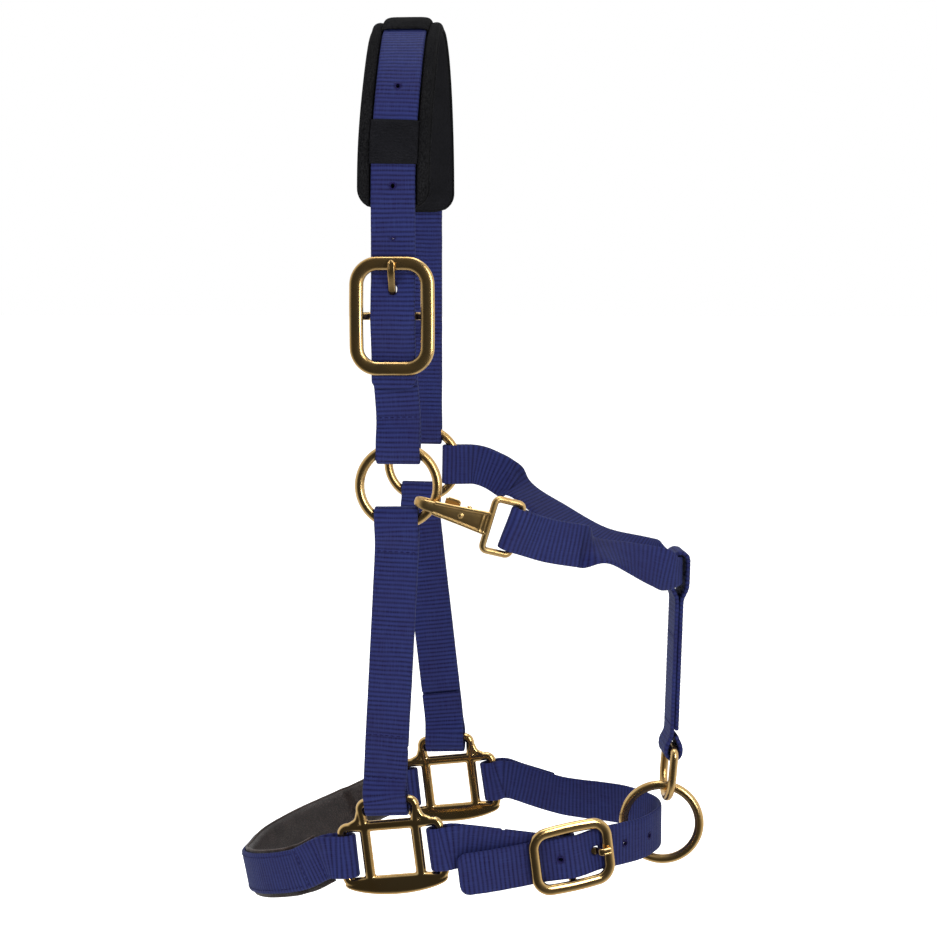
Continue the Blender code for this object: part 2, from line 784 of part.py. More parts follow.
def nose_parts():
    rail = nose_rail()
    end = rail.length
    flat = run(NOSE_LAP, 15.2 * MM, -LAYER)[:-1]
    flat += bar_eye(0, -1, -1)
    flat += run(15.2 * MM, end - 15.2 * MM, LAYER, 7 * MM)[1:]
    flat += bar_eye(end, 1, 1)
    flat += run(end - 15.2 * MM, end - NOSE_LAP, -LAYER)[1:]
    nose = strap("nose_strap", rail, tidy(flat), navy("nose_strap"))

    first, last = NOSE_PAD_START, end - NOSE_PAD_START
    count = 40

    def pad(s):
        near_end = min(s - first, last - s)
        over_lap = 1 - smooth((min(s, end - s) - NOSE_LAP - 2 * MM) / (7 * MM))
        slope = 1 - smooth((min(s, end - s) - 13.5 * MM) / (5 * MM))
        face = LAYER - WEB_THICK / 2 - 1.5 * GAP - (WEB_THICK + GAP) * over_lap - 1.6 * MM * slope
        thick = (2.2 + 3.0 * smooth(near_end / (9 * MM))) * MM
        low, high = -15.0 * MM, 13.4 * MM
        chamfer = 0.8 * MM
        return [
            (low, face - chamfer),
            (low + chamfer, face),
            (high - chamfer, face),
            (high, face - chamfer),
            (high, face - thick + chamfer),
            (high - chamfer, face - thick),
            (low + chamfer, face - thick),
            (low, face - thick + chamfer),
        ]

    stations = [first + (last - first) * k / (count - 1) for k in range(count)]
    return [nose, loft("nose_pad", rail, stations, pad, black("nose_pad"))]


# ---------------------------------------------------------------- chin


CHIN_HEEL = Vector((100.5, -63.5, -481.6)) * MM
CHIN_BUCKLE = Buckle(
    "chin_buckle",
    CHIN_HEEL,
    Vector((0.905, 0.41, 0.13)),
    Vector((0.41, -0.905, 0.0)),
    22.8 * MM,
    16.4 * MM,
    3.1 * MM,
    8.0 * MM,
    0.08,
)


def chin_strap_rail():
    """From the billet's end, through the chin buckle, round the lead ring and back to the far square."""
    b = CHIN_BUCKLE
    far = bar_place(FAR_SQUARE, "right")
    right, up = square_axes()
    points = [
        Vector((36, -82.4, -490)) * MM,
        Vector((57, -77.4, -487.4)) * MM,
        b.point(-22 * MM, 0, -BILLET_BEHIND),
        b.point(0, 0, -BILLET_BEHIND),
        b.point(22 * MM, 0, -BILLET_BEHIND),
        Vector((138, -31, -478.8)) * MM,
        Vector((146.5, -14, -478.2)) * MM,
        Vector((148.8, 2, -478)) * MM,
        Vector((143, 22, -478.2)) * MM,
        Vector((122, 45, -478.6)) * MM,
        Vector((82, 64, -479.5)) * MM,
        far + right * (10 * MM),
        far,
    ]
    tilt = -b.w if b.w.z > 0 else b.w
    widths = [tilt, tilt, tilt, tilt, tilt] + [-Z] * 6 + [-up, -up]
    return Rail(points, widths, 6)


def chin_strap():
    rail = chin_strap_rail()
    heel_s = rail.nearest(CHIN_BUCKLE.point(0, 0, -BILLET_BEHIND))
    end = rail.length
    flat = run(0, heel_s + 30 * MM, 0, 5 * MM, CHIN_BUCKLE.billet_bump(heel_s))
    flat += run(heel_s + 30 * MM, end - 45 * MM, 0, 6 * MM)[1:]
    flat += run(end - 45 * MM, end - 15.2 * MM, (0, -LAYER), 8 * MM)[1:]
    flat += bar_eye(end, 1, -1)
    flat += run(end - 15.2 * MM, end - 40 * MM, (LAYER, WEB_THICK + 2 * GAP))[1:]
    made = strap("chin_strap", rail, tidy(flat), navy("chin_strap"))
    holes = []
    for k in range(-1, 3):
        s = heel_s + TONGUE_HOLE + k * CHIN_HOLE_PITCH
        long = TONGUE_SLOT if k == 0 else HOLE_RADIUS
        wide = TONGUE_SLOT_HALF if k == 0 else HOLE_RADIUS
        holes.append(punch(f"chin_hole_{k + 1}", rail, s, black("helper"), long, wide))
    return combine(made, holes, "DIFFERENCE")


def chin_buckle_strap():
    """The short doubled strap between the near square and the chin buckle's heel bar."""
    b = CHIN_BUCKLE
    start = bar_place(NEAR_SQUARE, "right")
    right, up = square_axes()
    inside = -KEEPER_STACK
    heel = b.point(0, 0, inside)
    knee = b.point(-24 * MM, 0, inside) + Z * (4.6 * MM)
    points = [start, start + right * (13 * MM), knee, heel - b.u * (9 * MM), heel]
    tilt = -b.w if b.w.z > 0 else b.w
    rail = Rail(points, [-up, -up, (-Z + tilt).normalized(), tilt, tilt])
    end = rail.length
    join = end * 0.45
    flat = run(join, 15.2 * MM, -LAYER, 12 * MM)[:-1]
    flat += bar_eye(0, -1, -1)
    flat += run(15.2 * MM, end - 11 * MM, LAYER, 12 * MM)[1:]
    flat += heel_fold(end, 1, 1, KEEPER_STACK - HEEL_DEPTH)
    flat += run(end - 11 * MM, join + 1 * MM, -LAYER, 12 * MM)[1:]
    made = strap("chin_buckle_strap", rail, tidy(flat), navy("chin_buckle_strap"))
    return combine(made, [b.slot_cutter("chin_buckle_slot")], "DIFFERENCE")


# ---------------------------------------------------------------- throat


SNAP_HOOK = NEAR_RING + Vector((19.75, 0, -11.0)) * MM
SNAP_ALONG = Vector((0.948, 0.13, -0.285)).normalized()
SNAP_OUT = (-Y - SNAP_ALONG * SNAP_ALONG.dot(-Y)).normalized()
SNAP_UP = SNAP_OUT.cross(SNAP_ALONG)
SNAP_EYE = 50.5 * MM


def snap_point(s, up, h):
    return SNAP_HOOK + SNAP_ALONG * s + SNAP_UP * up + SNAP_OUT * h


def throat_rail():
    away = (CROSS - Z * 0.022).normalized()
    ring = FAR_RING + away * RING_RADIUS
    points = [
        ring,
        ring + away * (13 * MM),
        Vector((37, 74.5, -268.5)) * MM,
        Vector((45, 73.2, -273.2)) * MM,
        Vector((54, 70.5, -279.3)) * MM,
        Vector((75, 61, -292)) * MM,
        Vector((106, 44.5, -306.5)) * MM,
        Vector((133, 30, -314.5)) * MM,
        THROAT_TURN + Vector((-11.4, 18.6, 0.8)) * MM,
        THROAT_TURN + Vector((-3.2, 11.6, 0)) * MM,
        THROAT_TURN.copy(),
        THROAT_TURN + Vector((1.6, -11.9, 0)) * MM,
        THROAT_TURN + Vector((-3.2, -21.6, 0.8)) * MM,
        Vector((146, -28, -314)) * MM,
        Vector((131, -34, -308.5)) * MM,
        Vector((114, -42.5, -302.5)) * MM,
        Vector((104, -48, -300)) * MM,
        Vector((85, -59, -295.5)) * MM,
        snap_point(SNAP_EYE, 0, 0),
    ]
    far_lean = Vector((0.1, 0.9, 0.42)).normalized()
    widths = [Z, Z, Z, Vector((0.1, 0.15, 1)), far_lean, far_lean, far_lean, Vector((0.1, 0.6, 0.75))]
    widths += [Z] * 5
    widths += [Vector((0, 0.45, 0.88)), Vector((-0.2, 0.73, 0.65)), Vector((-0.34, 0.8, 0.46))]
    widths += [Vector((0.1, 0.1, 1)), Vector((0.15, 0, 1)), SNAP_UP]
    return Rail(points, [w.normalized() for w in widths], 6)


def throat_strap():
    """From the far ring, under the jaw, to the snap. Its snap end is folded back on the outside."""
    rail = throat_rail()
    end = rail.length
    flat = run(42 * MM, 15.6 * MM, -LAYER)[:-1]
    flat += ring_eye(0, -1, -1)
    flat += run(15.6 * MM, 52 * MM, (LAYER, 0), 8 * MM)[1:]
    flat += run(52 * MM, end - 62 * MM, 0, 6 * MM)[1:]
    flat += run(end - 62 * MM, end - 46 * MM, (0, -LAYER), 6 * MM)[1:]
    flat += run(end - 46 * MM, end - 14 * MM, -LAYER, 8 * MM)[1:]
    flat += eye(end, 1, 4.3 * MM, 2.0 * MM, 2.0 * MM, into=-1)
    flat += run(end - 14 * MM, end - 42 * MM, LAYER, 8 * MM)[1:]
    turn = rail.nearest(THROAT_TURN)

    def width(s):
        gathered = 1 - smooth((abs(s - turn) - 14 * MM) / (16 * MM))
        return WEB_WIDTH + (TURN_WIDTH - WEB_WIDTH) * gathered

    return strap("throat_strap", rail, tidy(flat), navy("throat_strap"), THROAT_TURN, width)


LINK_TOP = Vector((155.2, 0.0, -429.0)) * MM
LINK_HEIGHT = 31.2 * MM
LINK_HALF = 15.6 * MM
LINK_WIRE = 2.5 * MM
LINK_CORNER = 4.0 * MM
CONNECTOR_ACROSS = Vector((-0.2, 0.98, 0)).normalized()
LINK_DOWN = Vector((-0.08, 0, -1)).normalized()


def connector_strap():
    """The doubled strap that hangs from the throat strap's turn and holds the lead ring's link."""
    top = THROAT_TURN + Vector((-0.4, 0, 3.9)) * MM
    points = [top, top.lerp(LINK_TOP, 0.3), top.lerp(LINK_TOP, 0.65), LINK_TOP]
    rail = Rail(points, [CONNECTOR_ACROSS] * 4)
    end = rail.length
    join = end * 0.9
    flat = run(join - 1 * MM, 24 * MM, -LAYER, 14 * MM)[:-1]
    flat += eye(0, -1, 4.6 * MM, 2.6 * MM, 13.2 * MM, 9 * MM)
    flat += run(24 * MM, end - 13 * MM, LAYER, 14 * MM)[1:]
    flat += eye(end, 1, LINK_WIRE + GAP + WEB_THICK / 2 + 0.4 * MM, 1.2 * MM, 1.5 * MM, 8 * MM, into=1)
    return strap("connector_strap", rail, tidy(flat), navy("connector_strap"), THROAT_TURN)


def connector_link():
    """A brass D-link: a straight top for the strap and a round foot for the ring."""
    down = LINK_DOWN
    across = CONNECTOR_ACROSS
    corners = [
        LINK_TOP - across * LINK_HALF,
        LINK_TOP + across * LINK_HALF,
    ]
    path = [corners[0] + across * LINK_CORNER, corners[1] - across * LINK_CORNER]
    for k in range(1, 4):
        angle = math.pi / 2 * k / 3
        along, below = LINK_CORNER * (1 - math.sin(angle)), LINK_CORNER * (1 - math.cos(angle))
        path.append(corners[1] - across * along + down * below)
    low = LINK_HEIGHT - LINK_HALF
    for k in range(11):
        angle = math.pi * k / 10
        below = low + LINK_HALF * math.sin(angle)
        path.append(LINK_TOP + down * below + across * (LINK_HALF * math.cos(angle)))
    for k in range(3):
        angle = math.pi / 2 * k / 3
        along, below = LINK_CORNER * (1 - math.cos(angle)), LINK_CORNER * (1 - math.sin(angle))
        path.append(corners[0] + across * along + down * below)
    return rod(
        "connector_link",
        path,
        across.cross(down).normalized(),
        lambda i: (LINK_WIRE, LINK_WIRE),
        brass("connector_link"),
        True,
        LINK_TOP,
    )


# ---------------------------------------------------------------- snap


HOOK_REACH = 6.1 * MM
HOOK_HALF = 1.8 * MM
LEVER_PIVOT = (21.0 * MM, -1.2 * MM)


def snap_body():
    """A cast hook that widens towards a rectangular eye for the strap, hollow behind for the lever."""
    finish = brass("snap_body")
    eye_place = snap_point(SNAP_EYE, 0, 0)
    path = [snap_point(s * MM, 0, HOOK_REACH) for s in (33.5, 26, 19, 12, 6, 1)]
    bend = -3.0 * MM
    for k in range(9):
        angle = math.pi * k / 8
        path.append(snap_point(bend - HOOK_REACH * math.sin(angle), 0, HOOK_REACH * math.cos(angle)))
    path.append(snap_point(0.2 * MM, 0, -HOOK_REACH))
    lateral = [6.4, 5.7, 5.0, 4.4, 3.9, 3.5, 3.3, 3.1, 2.9, 2.7, 2.6, 2.6, 2.6, 2.6, 2.6, 2.3]

    def half(i):
        return HOOK_HALF, lateral[i] * MM

    hook = rod("snap_body", path, SNAP_UP, half, finish, False, eye_place, 10)
    near_bar, far_bar, tall = 34.0 * MM, SNAP_EYE, 15.4 * MM
    drop = HOOK_REACH
    corners = []
    for s, up in ((near_bar, -tall), (far_bar, -tall), (far_bar, tall), (near_bar, tall)):
        share = (s - near_bar) / (far_bar - near_bar)
        corners.append(snap_point(s, up, drop * (1 - share)))
    normal = (corners[1] - corners[0]).cross(corners[3] - corners[0]).normalized()
    loop = rod(
        "snap_eye_loop",
        round_corners(corners, 3.0 * MM, True, 3),
        normal,
        lambda i: (SNAP_EYE_BAR, SNAP_EYE_BAR),
        finish,
        True,
        eye_place,
    )
    lugs = []
    frame = (SNAP_HOOK, SNAP_ALONG, SNAP_UP, SNAP_OUT)
    for name, low, high in (("upper", 2.6, 4.4), ("lower", -4.4, -2.6)):
        lugs.append(
            block(
                f"snap_{name}_lug",
                frame,
                (17.5 * MM, low * MM, -3.4 * MM),
                (25.0 * MM, high * MM, 5.2 * MM),
                finish,
            )
        )
    combine(hook, [loop, *lugs], "UNION")
    s, h = LEVER_PIVOT
    bore = rod(
        "snap_bore",
        [snap_point(s, up, h) for up in (-7 * MM, 7 * MM)],
        SNAP_OUT,
        lambda i: (1.05 * MM, 1.05 * MM),
        black("helper"),
    )
    return combine(hook, [bore], "DIFFERENCE")


def snap_lever():
    """The sprung gate, with a thumb tab that stands past the body's upper edge."""
    finish = brass("snap_lever")
    s0, h0 = LEVER_PIVOT
    pivot = snap_point(s0, 0, h0)
    heel = ((s0 + 2.2 * MM, h0 + 0.2 * MM), (s0, h0), (s0 - 5 * MM, h0 - 2.6 * MM))
    path = [snap_point(s, 0, h) for s, h in heel]
    path += [snap_point(s * MM, 0, h * MM) for s, h in ((10, -5.4), (3.6, -6.0))]

    def gate_half(i):
        return (1.7 * MM if i < 2 else 0.9 * MM), 2.2 * MM

    gate = rod("snap_lever", path, SNAP_UP, gate_half, finish, False, pivot)
    tab = rod(
        "snap_lever_tab",
        [snap_point(s * MM, 4.4 * MM, h * MM) for s, h in ((6.5, -4.9), (9, -4.7), (13, -4.1), (15.5, -3.4))],
        SNAP_UP,
        lambda i: ((0.9 * MM, 2.8 * MM) if i in (1, 2) else (0.7 * MM, 2.2 * MM)),
        finish,
        False,
        pivot,
        8,
    )
    combine(gate, [tab], "UNION")
    bore = rod(
        "snap_lever_bore",
        [snap_point(s0, up, h0) for up in (-6 * MM, 6 * MM)],
        SNAP_OUT,
        lambda i: (1.05 * MM, 1.05 * MM),
        black("helper"),
    )
    return combine(gate, [bore], "DIFFERENCE")


def snap_rivet():
    s, h = LEVER_PIVOT
    path = [snap_point(s, up * MM, h) for up in (-5.6, -4.75, -4.74, 4.74, 4.75, 5.6)]
    return rod(
        "snap_rivet",
        path,
        SNAP_OUT,
        lambda i: (0.75 * MM, 0.75 * MM) if i in (2, 3) else (1.5 * MM, 1.5 * MM),
        brass("snap_rivet"),
        False,
        Vector(),
        8,
    )


def snap_spring():
    """A small leaf spring between the body and the gate."""
    leaf = ((31, 3.4), (27, 2.6), (22, 2.2), (17.5, 1.2), (14, -1.0))
    points = [snap_point(s * MM, 0, h * MM) for s, h in leaf]
    return rod(
        "snap_spring",
        points,
        SNAP_UP,
        lambda i: (0.3 * MM, 1.7 * MM),
        material("snap_spring_steel", (0.6, 0.6, 0.62), 0.3, 1.0),
        False,
        Vector(),
        6,
    )


# ---------------------------------------------------------------- assembly


def assemble():
    clear_scene()
    cheek_rings()
    rail, _ = crown_parts()
    pad_parts(rail)
    CROWN_BUCKLE.frame()
    CROWN_BUCKLE.tongue()
    crown_buckle_strap()

    swing_place = (NEAR_RING + FAR_RING) / 2
    swing = empty("noseband_swing", swing_place)
    lower = [
        cheek_strap("near_cheek_strap", NEAR_RING, NEAR_SQUARE, -1),
        cheek_strap("far_cheek_strap", FAR_RING, FAR_SQUARE, 1),
        square("near_square", NEAR_SQUARE),
        square("far_square", FAR_SQUARE),
        *nose_parts(),
        chin_buckle_strap(),
        CHIN_BUCKLE.frame(),
        CHIN_BUCKLE.tongue(),
        chin_strap(),
        throat_strap(),
        connector_strap(),
        connector_link(),
        torus("lead_ring", LEAD_RING, Y, LEAD_RING_RADIUS, RING_WIRE, brass("lead_ring")),
        snap_body(),
        snap_lever(),
        snap_rivet(),
        snap_spring(),
    ]
    for obj in lower:
        hang(obj, swing, swing_place)
    for obj in bpy.data.objects:
        if obj.hide_render and obj.parent is None:
            users = [o for o in lower if any(m.object == obj for m in o.modifiers)]
            if users:
                hang(obj, swing, swing_place)


assemble()
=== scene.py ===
"""A horse's webbing halter, shown as navy nylon webbing, polished cast brass and black padding.

Metres, +Z up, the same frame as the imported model: +X towards the throat and chin, -Y to the horse's left.
Every strap is laid on a Rail, as in the part, but swept finely enough to carry its ribs.
"""

import bisect
import json
import math

import bpy
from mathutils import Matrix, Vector, noise


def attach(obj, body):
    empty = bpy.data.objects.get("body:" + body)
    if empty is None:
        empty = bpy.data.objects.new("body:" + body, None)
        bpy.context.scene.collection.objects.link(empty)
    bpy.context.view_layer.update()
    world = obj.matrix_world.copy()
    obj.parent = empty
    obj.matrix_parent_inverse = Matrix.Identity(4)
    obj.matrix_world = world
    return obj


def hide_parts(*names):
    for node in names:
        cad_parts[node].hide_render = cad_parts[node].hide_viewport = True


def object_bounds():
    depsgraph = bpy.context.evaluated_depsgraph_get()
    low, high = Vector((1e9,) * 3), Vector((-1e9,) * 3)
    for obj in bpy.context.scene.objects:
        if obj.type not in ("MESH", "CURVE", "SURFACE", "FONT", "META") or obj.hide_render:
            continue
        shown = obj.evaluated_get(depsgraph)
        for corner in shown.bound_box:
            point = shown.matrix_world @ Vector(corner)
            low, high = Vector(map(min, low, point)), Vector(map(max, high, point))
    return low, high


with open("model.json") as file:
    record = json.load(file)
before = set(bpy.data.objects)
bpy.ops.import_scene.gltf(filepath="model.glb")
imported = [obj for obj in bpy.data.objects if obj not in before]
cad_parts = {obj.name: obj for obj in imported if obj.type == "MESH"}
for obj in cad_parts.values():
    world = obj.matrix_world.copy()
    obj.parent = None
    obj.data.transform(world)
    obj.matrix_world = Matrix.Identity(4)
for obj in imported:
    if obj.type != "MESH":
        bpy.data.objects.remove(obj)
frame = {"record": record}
cad_low, cad_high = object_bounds()

MM = 0.001

# Webbing
WEB_WIDTH = 25.4 * MM
WEB_THICK = 2.3 * MM
SHOWN_THICK = 2.35 * MM
GAP = 0.4 * MM
LAYER = (WEB_THICK + GAP) / 2
RIB_PITCH = 2.65 * MM
RIB_RISE = 0.17 * MM
RIB_SAMPLES = 5
SPACING = RIB_PITCH / RIB_SAMPLES
RELAX_ROUNDS = 14
RING_EYE_LENGTH = 15.6 * MM
BAR_EYE_LENGTH = 15.2 * MM
END_CORNER = 1.2 * MM
STITCH_INSET = 2.6 * MM
STITCH_PITCH = 3.0 * MM
HOLE_RADIUS = 1.7 * MM
HOLE_PITCH = 29.3 * MM
CHIN_HOLE_PITCH = 22.0 * MM
TONGUE_HOLE = 14.8 * MM
TONGUE_SLOT = 3.3 * MM
TONGUE_SLOT_HALF = 2.6 * MM

# Brass
RING_RADIUS = 22.6 * MM
LEAD_RING_RADIUS = 23.2 * MM
RING_WIRE = 2.8 * MM
BAR = 2.75 * MM
POST_HALF = 3.15 * MM
BRACE_HALF = 2.2 * MM
HEEL_BAR = 2.3 * MM
SNAP_EYE_BAR = 2.0 * MM

# Places of the fittings
NEAR_RING = Vector((0.0, -75.0, -263.3)) * MM
FAR_RING = Vector((-10.7, 75.0, -263.7)) * MM
NEAR_SQUARE = Vector((-4.0, -75.0, -479.7)) * MM
FAR_SQUARE = Vector((7.6, 75.0, -477.4)) * MM
SQUARE_TILT = math.radians(7.0)
LEAD_RING = Vector((150.0, 0.0, -476.6)) * MM
CROWN_HEEL = Vector((-2.1, -82.7, -165.5)) * MM
THROAT_TURN = Vector((158.8, 0.0, -318.8)) * MM
TURN_WIDTH = 17.0 * MM

WINDOW_X = 15.3 * MM
WINDOW_Z = 16.5 * MM
OUTER_STEP = 14.0 * MM
EAR_HALF = 16.7 * MM

# Crown
CROWN_SPRING_Z = -92.0 * MM
CROWN_TOP = 6.573 * MM
FOAM_THICK = 4.0 * MM
CROWN_MIDDLE = -1.2 * MM
CROWN_HALF = 76.2 * MM
BILLET_ASIDE = -2.2 * MM
PAD_WIDTH = 40.0 * MM
PAD_END_Z = -104.0 * MM
PAD_FAR_SHORT = 4.5 * MM
KEEPER_Z = -67.0 * MM
KEEPER_LENGTH = 25.0 * MM
POLL_KEEPER_LENGTH = 62.0 * MM

# Crown strap: where it leaves the buckle strap and joins the doubled line, and the lap at the far ring
BILLET_LEAVES = 45.0 * MM
BILLET_JOINS = 75.0 * MM
CROWN_LAP = 62.0 * MM

X = Vector((1, 0, 0))
Y = Vector((0, 1, 0))
Z = Vector((0, 0, 1))
RING_AXIS = (FAR_RING - NEAR_RING).normalized()
CROSS = Vector((RING_AXIS.y, -RING_AXIS.x, 0)).normalized()

NODE_BODY = {node: body for body, nodes in frame["record"]["behaviour"]["bodies"].items() for node in nodes}


# ---------------------------------------------------------------- materials


class Shader:
    """A node tree being wired: add() makes a node and sets or links its inputs."""

    def __init__(self, name, world=False):
        self.owner = (bpy.data.worlds if world else bpy.data.materials).new(name)
        self.owner.use_nodes = True
        self.tree = self.owner.node_tree
        self.tree.nodes.clear()
        self.out = self.tree.nodes.new("ShaderNodeOutputWorld" if world else "ShaderNodeOutputMaterial")

    def put(self, socket, value):
        if isinstance(value, bpy.types.NodeSocket):
            self.tree.links.new(value, socket)
        else:
            socket.default_value = value

    def add(self, kind, settings=None, **inputs):
        node = self.tree.nodes.new("ShaderNode" + kind)
        for key, value in (settings or {}).items():
            setattr(node, key, value)
        for key, value in inputs.items():
            self.put(self.socket(node, key), value)
        return node

    @staticmethod
    def socket(node, key):
        if key.startswith("_"):
            return node.inputs[int(key[1:])]
        return node.inputs[key.replace("_", " ")]

    def maths(self, operation, a, b=0.0):
        return self.add("Math", {"operation": operation}, _0=a, _1=b).outputs[0]

    def mix(self, share, a, b):
        node = self.add("Mix", {"data_type": "RGBA"})
        for i, value in ((0, share), (6, a), (7, b)):
            self.put(node.inputs[i], value)
        return node.outputs[2]

    def noise(self, scale, detail=3.0, rough=0.5, vector=None):
        place = vector or self.add("TexCoord").outputs["Object"]
        return self.add("TexNoise", Vector=place, Scale=scale, Detail=detail, Roughness=rough).outputs["Fac"]

    def spread(self, value, low, high, to_low=0.0, to_high=1.0):
        node = self.add("MapRange", Value=value, From_Min=low, From_Max=high, To_Min=to_low, To_Max=to_high)
        return node.outputs["Result"]

    def bump(self, height, distance, strength=1.0):
        return self.add("Bump", Height=height, Distance=distance, Strength=strength).outputs["Normal"]

    def finish(self, **inputs):
        principled = self.add("BsdfPrincipled", **inputs)
        self.put(self.out.inputs["Surface"], principled.outputs[0])
        return self.owner


def navy_webbing(name, valley_shade=(0.0028, 0.0014, 0.017, 1), crest_highlight=(0.0145, 0.0195, 0.092, 1)):
    """Ribbed nylon: the rib crests are painted lighter as a painted highlight and the valleys painted darker
    as painted shade, with fine threads along the strap.
    """
    s = Shader(name)
    rib = s.add("Attribute", {"attribute_name": "rib"}).outputs["Fac"]
    uv = s.add("UVMap", {"uv_map": "web_uv"}).outputs["UV"]
    parts = s.add("SeparateXYZ", Vector=uv)
    along, across = parts.outputs[0], parts.outputs[1]
    patches = s.noise(38.0, 2.0)
    fuzz = s.noise(1500.0, 3.0, 0.6)
    streak_x, streak_y = s.maths("MULTIPLY", along, 90.0), s.maths("MULTIPLY", across, 2600.0)
    streak_place = s.add("CombineXYZ", X=streak_x, Y=streak_y)
    streaks = s.noise(1.0, 2.0, 0.5, streak_place.outputs[0])
    threads = s.maths("SINE", s.maths("MULTIPLY", across, 2 * math.pi / (0.62 * MM)))
    # painted highlight on the rib crests and painted shade in the rib valleys, following the rib attribute
    colour = s.mix(s.spread(rib, 0.15, 1.0), valley_shade, crest_highlight)
    colour = s.mix(s.spread(patches, 0.3, 0.7, 0.0, 0.35), colour, (0.0095, 0.0045, 0.026, 1))
    colour = s.mix(s.spread(streaks, 0.35, 0.75, 0.0, 0.4), colour, (0.021, 0.032, 0.115, 1))
    height = s.maths("ADD", s.maths("MULTIPLY", threads, 0.35), s.maths("MULTIPLY", fuzz, 0.9))
    return s.finish(
        Base_Color=colour,
        Roughness=s.spread(fuzz, 0.3, 0.7, 0.52, 0.8),
        Specular_IOR_Level=0.1,
        Sheen_Weight=0.06,
        Sheen_Roughness=0.4,
        Sheen_Tint=(0.3, 0.42, 0.95, 1),
        Normal=s.bump(height, 0.00011, 0.55),
    )


def brass_metal(name, low=0.1, high=0.24):
    """Polished cast brass with a little haze and darker spots."""
    s = Shader(name)
    haze = s.noise(55.0, 4.0, 0.55)
    spots = s.noise(420.0, 3.0, 0.6)
    waves = s.noise(140.0, 2.0, 0.5)
    colour = s.mix(s.spread(haze, 0.35, 0.72), (0.80, 0.545, 0.235, 1), (0.66, 0.41, 0.145, 1))
    colour = s.mix(s.spread(spots, 0.66, 0.8, 0.0, 0.4), colour, (0.33, 0.19, 0.075, 1))
    return s.finish(
        Base_Color=colour,
        Metallic=1.0,
        Roughness=s.spread(haze, 0.3, 0.75, low, high),
        Normal=s.bump(waves, 0.00022, 0.35),
    )


def fabric(name, colour, light, scale=2100.0, rough=0.85, depth=0.00012):
    """A close-woven or felted black cloth."""
    s = Shader(name)
    weave = s.noise(scale, 3.0, 0.6)
    patches = s.noise(60.0, 3.0)
    mixed = s.mix(s.spread(weave, 0.35, 0.7), (*colour, 1), (*light, 1))
    mixed = s.mix(s.spread(patches, 0.35, 0.7, 0.0, 0.35), mixed, (*colour, 1))
    return s.finish(
        Base_Color=mixed,
        Roughness=rough,
        Specular_IOR_Level=0.04,
        Normal=s.bump(weave, depth, 0.6),
    )


def leather(name, colour, light):
    """Pebbled lining: small raised cells painted lighter as a painted highlight, with the creases between
    them painted dark as painted shade.
    """
    s = Shader(name)
    place = s.add("TexCoord").outputs["Object"]
    voronoi = s.add("TexVoronoi", {"feature": "DISTANCE_TO_EDGE"}, Vector=place, Scale=760.0)
    cells = voronoi.outputs["Distance"]
    patches = s.noise(90.0, 3.0)
    raised = s.spread(cells, 0.0, 0.28)
    # painted shade in the creases and a painted highlight on the raised cells, by the same mask as the bump
    mixed = s.mix(raised, (*colour, 1), (*light, 1))
    mixed = s.mix(s.spread(patches, 0.35, 0.7, 0.0, 0.5), mixed, (*colour, 1))
    return s.finish(
        Base_Color=mixed,
        Roughness=s.spread(patches, 0.3, 0.7, 0.36, 0.58),
        Specular_IOR_Level=0.45,
        Normal=s.bump(raised, 0.00022, 0.8),
    )


NAVY = navy_webbing("navy_webbing")
THREAD = fabric("navy_thread", (0.006, 0.005, 0.03), (0.02, 0.022, 0.085), 3000.0, 0.6)
MELTED = fabric("melted_nylon", (0.006, 0.005, 0.030), (0.016, 0.013, 0.07), 900.0, 0.4)
BRASS = brass_metal("cast_brass", 0.13, 0.24)
SATIN_BRASS = brass_metal("satin_brass", 0.22, 0.34)
DULL_BRASS = brass_metal("dull_brass", 0.3, 0.44)
COVER = fabric("black_cover", (0.0018, 0.0018, 0.0022), (0.0115, 0.0115, 0.0125), 1100.0, 0.9)
LINING = fabric("black_lining", (0.0035, 0.0035, 0.004), (0.010, 0.010, 0.012), 2600.0, 0.9)
ELASTIC = fabric("black_elastic", (0.0022, 0.0022, 0.0028), (0.013, 0.013, 0.016), 2200.0, 0.85)
BLACK_THREAD = fabric("black_thread", (0.008, 0.008, 0.009), (0.03, 0.03, 0.034), 3000.0, 0.6)
NOSE_LEATHER = leather("pebbled_lining", (0.006, 0.004, 0.004), (0.032, 0.021, 0.018))
PIPING = leather("nose_piping", (0.018, 0.011, 0.009), (0.055, 0.033, 0.026))


def steel():
    s = Shader("spring_steel")
    return s.finish(
        Base_Color=(0.55, 0.55, 0.57, 1),
        Metallic=1.0,
        Roughness=s.spread(s.noise(200.0), 0.3, 0.7, 0.22, 0.4),
    )


STEEL = steel()


# ---------------------------------------------------------------- objects


def piece(name, verts, faces, finish, node=None, body=None, slot=None):
    """A smooth mesh that rides on its body and, if node is given, stands for that CAD node."""
    name = name + "_look" if node else name
    mesh = bpy.data.meshes.new(name)
    mesh.from_pydata([tuple(v) for v in verts], [], faces)
    mesh.validate()
    mesh.materials.append(finish)
    mesh.shade_smooth()
    obj = bpy.data.objects.new(name, mesh)
    bpy.context.scene.collection.objects.link(obj)
    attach(obj, body or NODE_BODY[node])
    if node:
        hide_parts(node)
    return obj


def bake_modifiers(obj):
    """Makes the modified mesh the object's own."""
    graph = bpy.context.evaluated_depsgraph_get()
    done = bpy.data.meshes.new_from_object(obj.evaluated_get(graph))
    done.name = obj.data.name
    obj.modifiers.clear()
    obj.data = done
    obj.data.shade_smooth()
    return obj


def subtract(obj, verts, faces):
    """Cuts a closed shell out of the object."""
    mesh = bpy.data.meshes.new("cutter")
    mesh.from_pydata([tuple(v) for v in verts], [], faces)
    cutter = bpy.data.objects.new("cutter", mesh)
    bpy.context.scene.collection.objects.link(cutter)
    modifier = obj.modifiers.new("cut", "BOOLEAN")
    modifier.operation = "DIFFERENCE"
    modifier.solver = "EXACT"
    modifier.object = cutter
    bake_modifiers(obj)
    bpy.data.objects.remove(cutter)


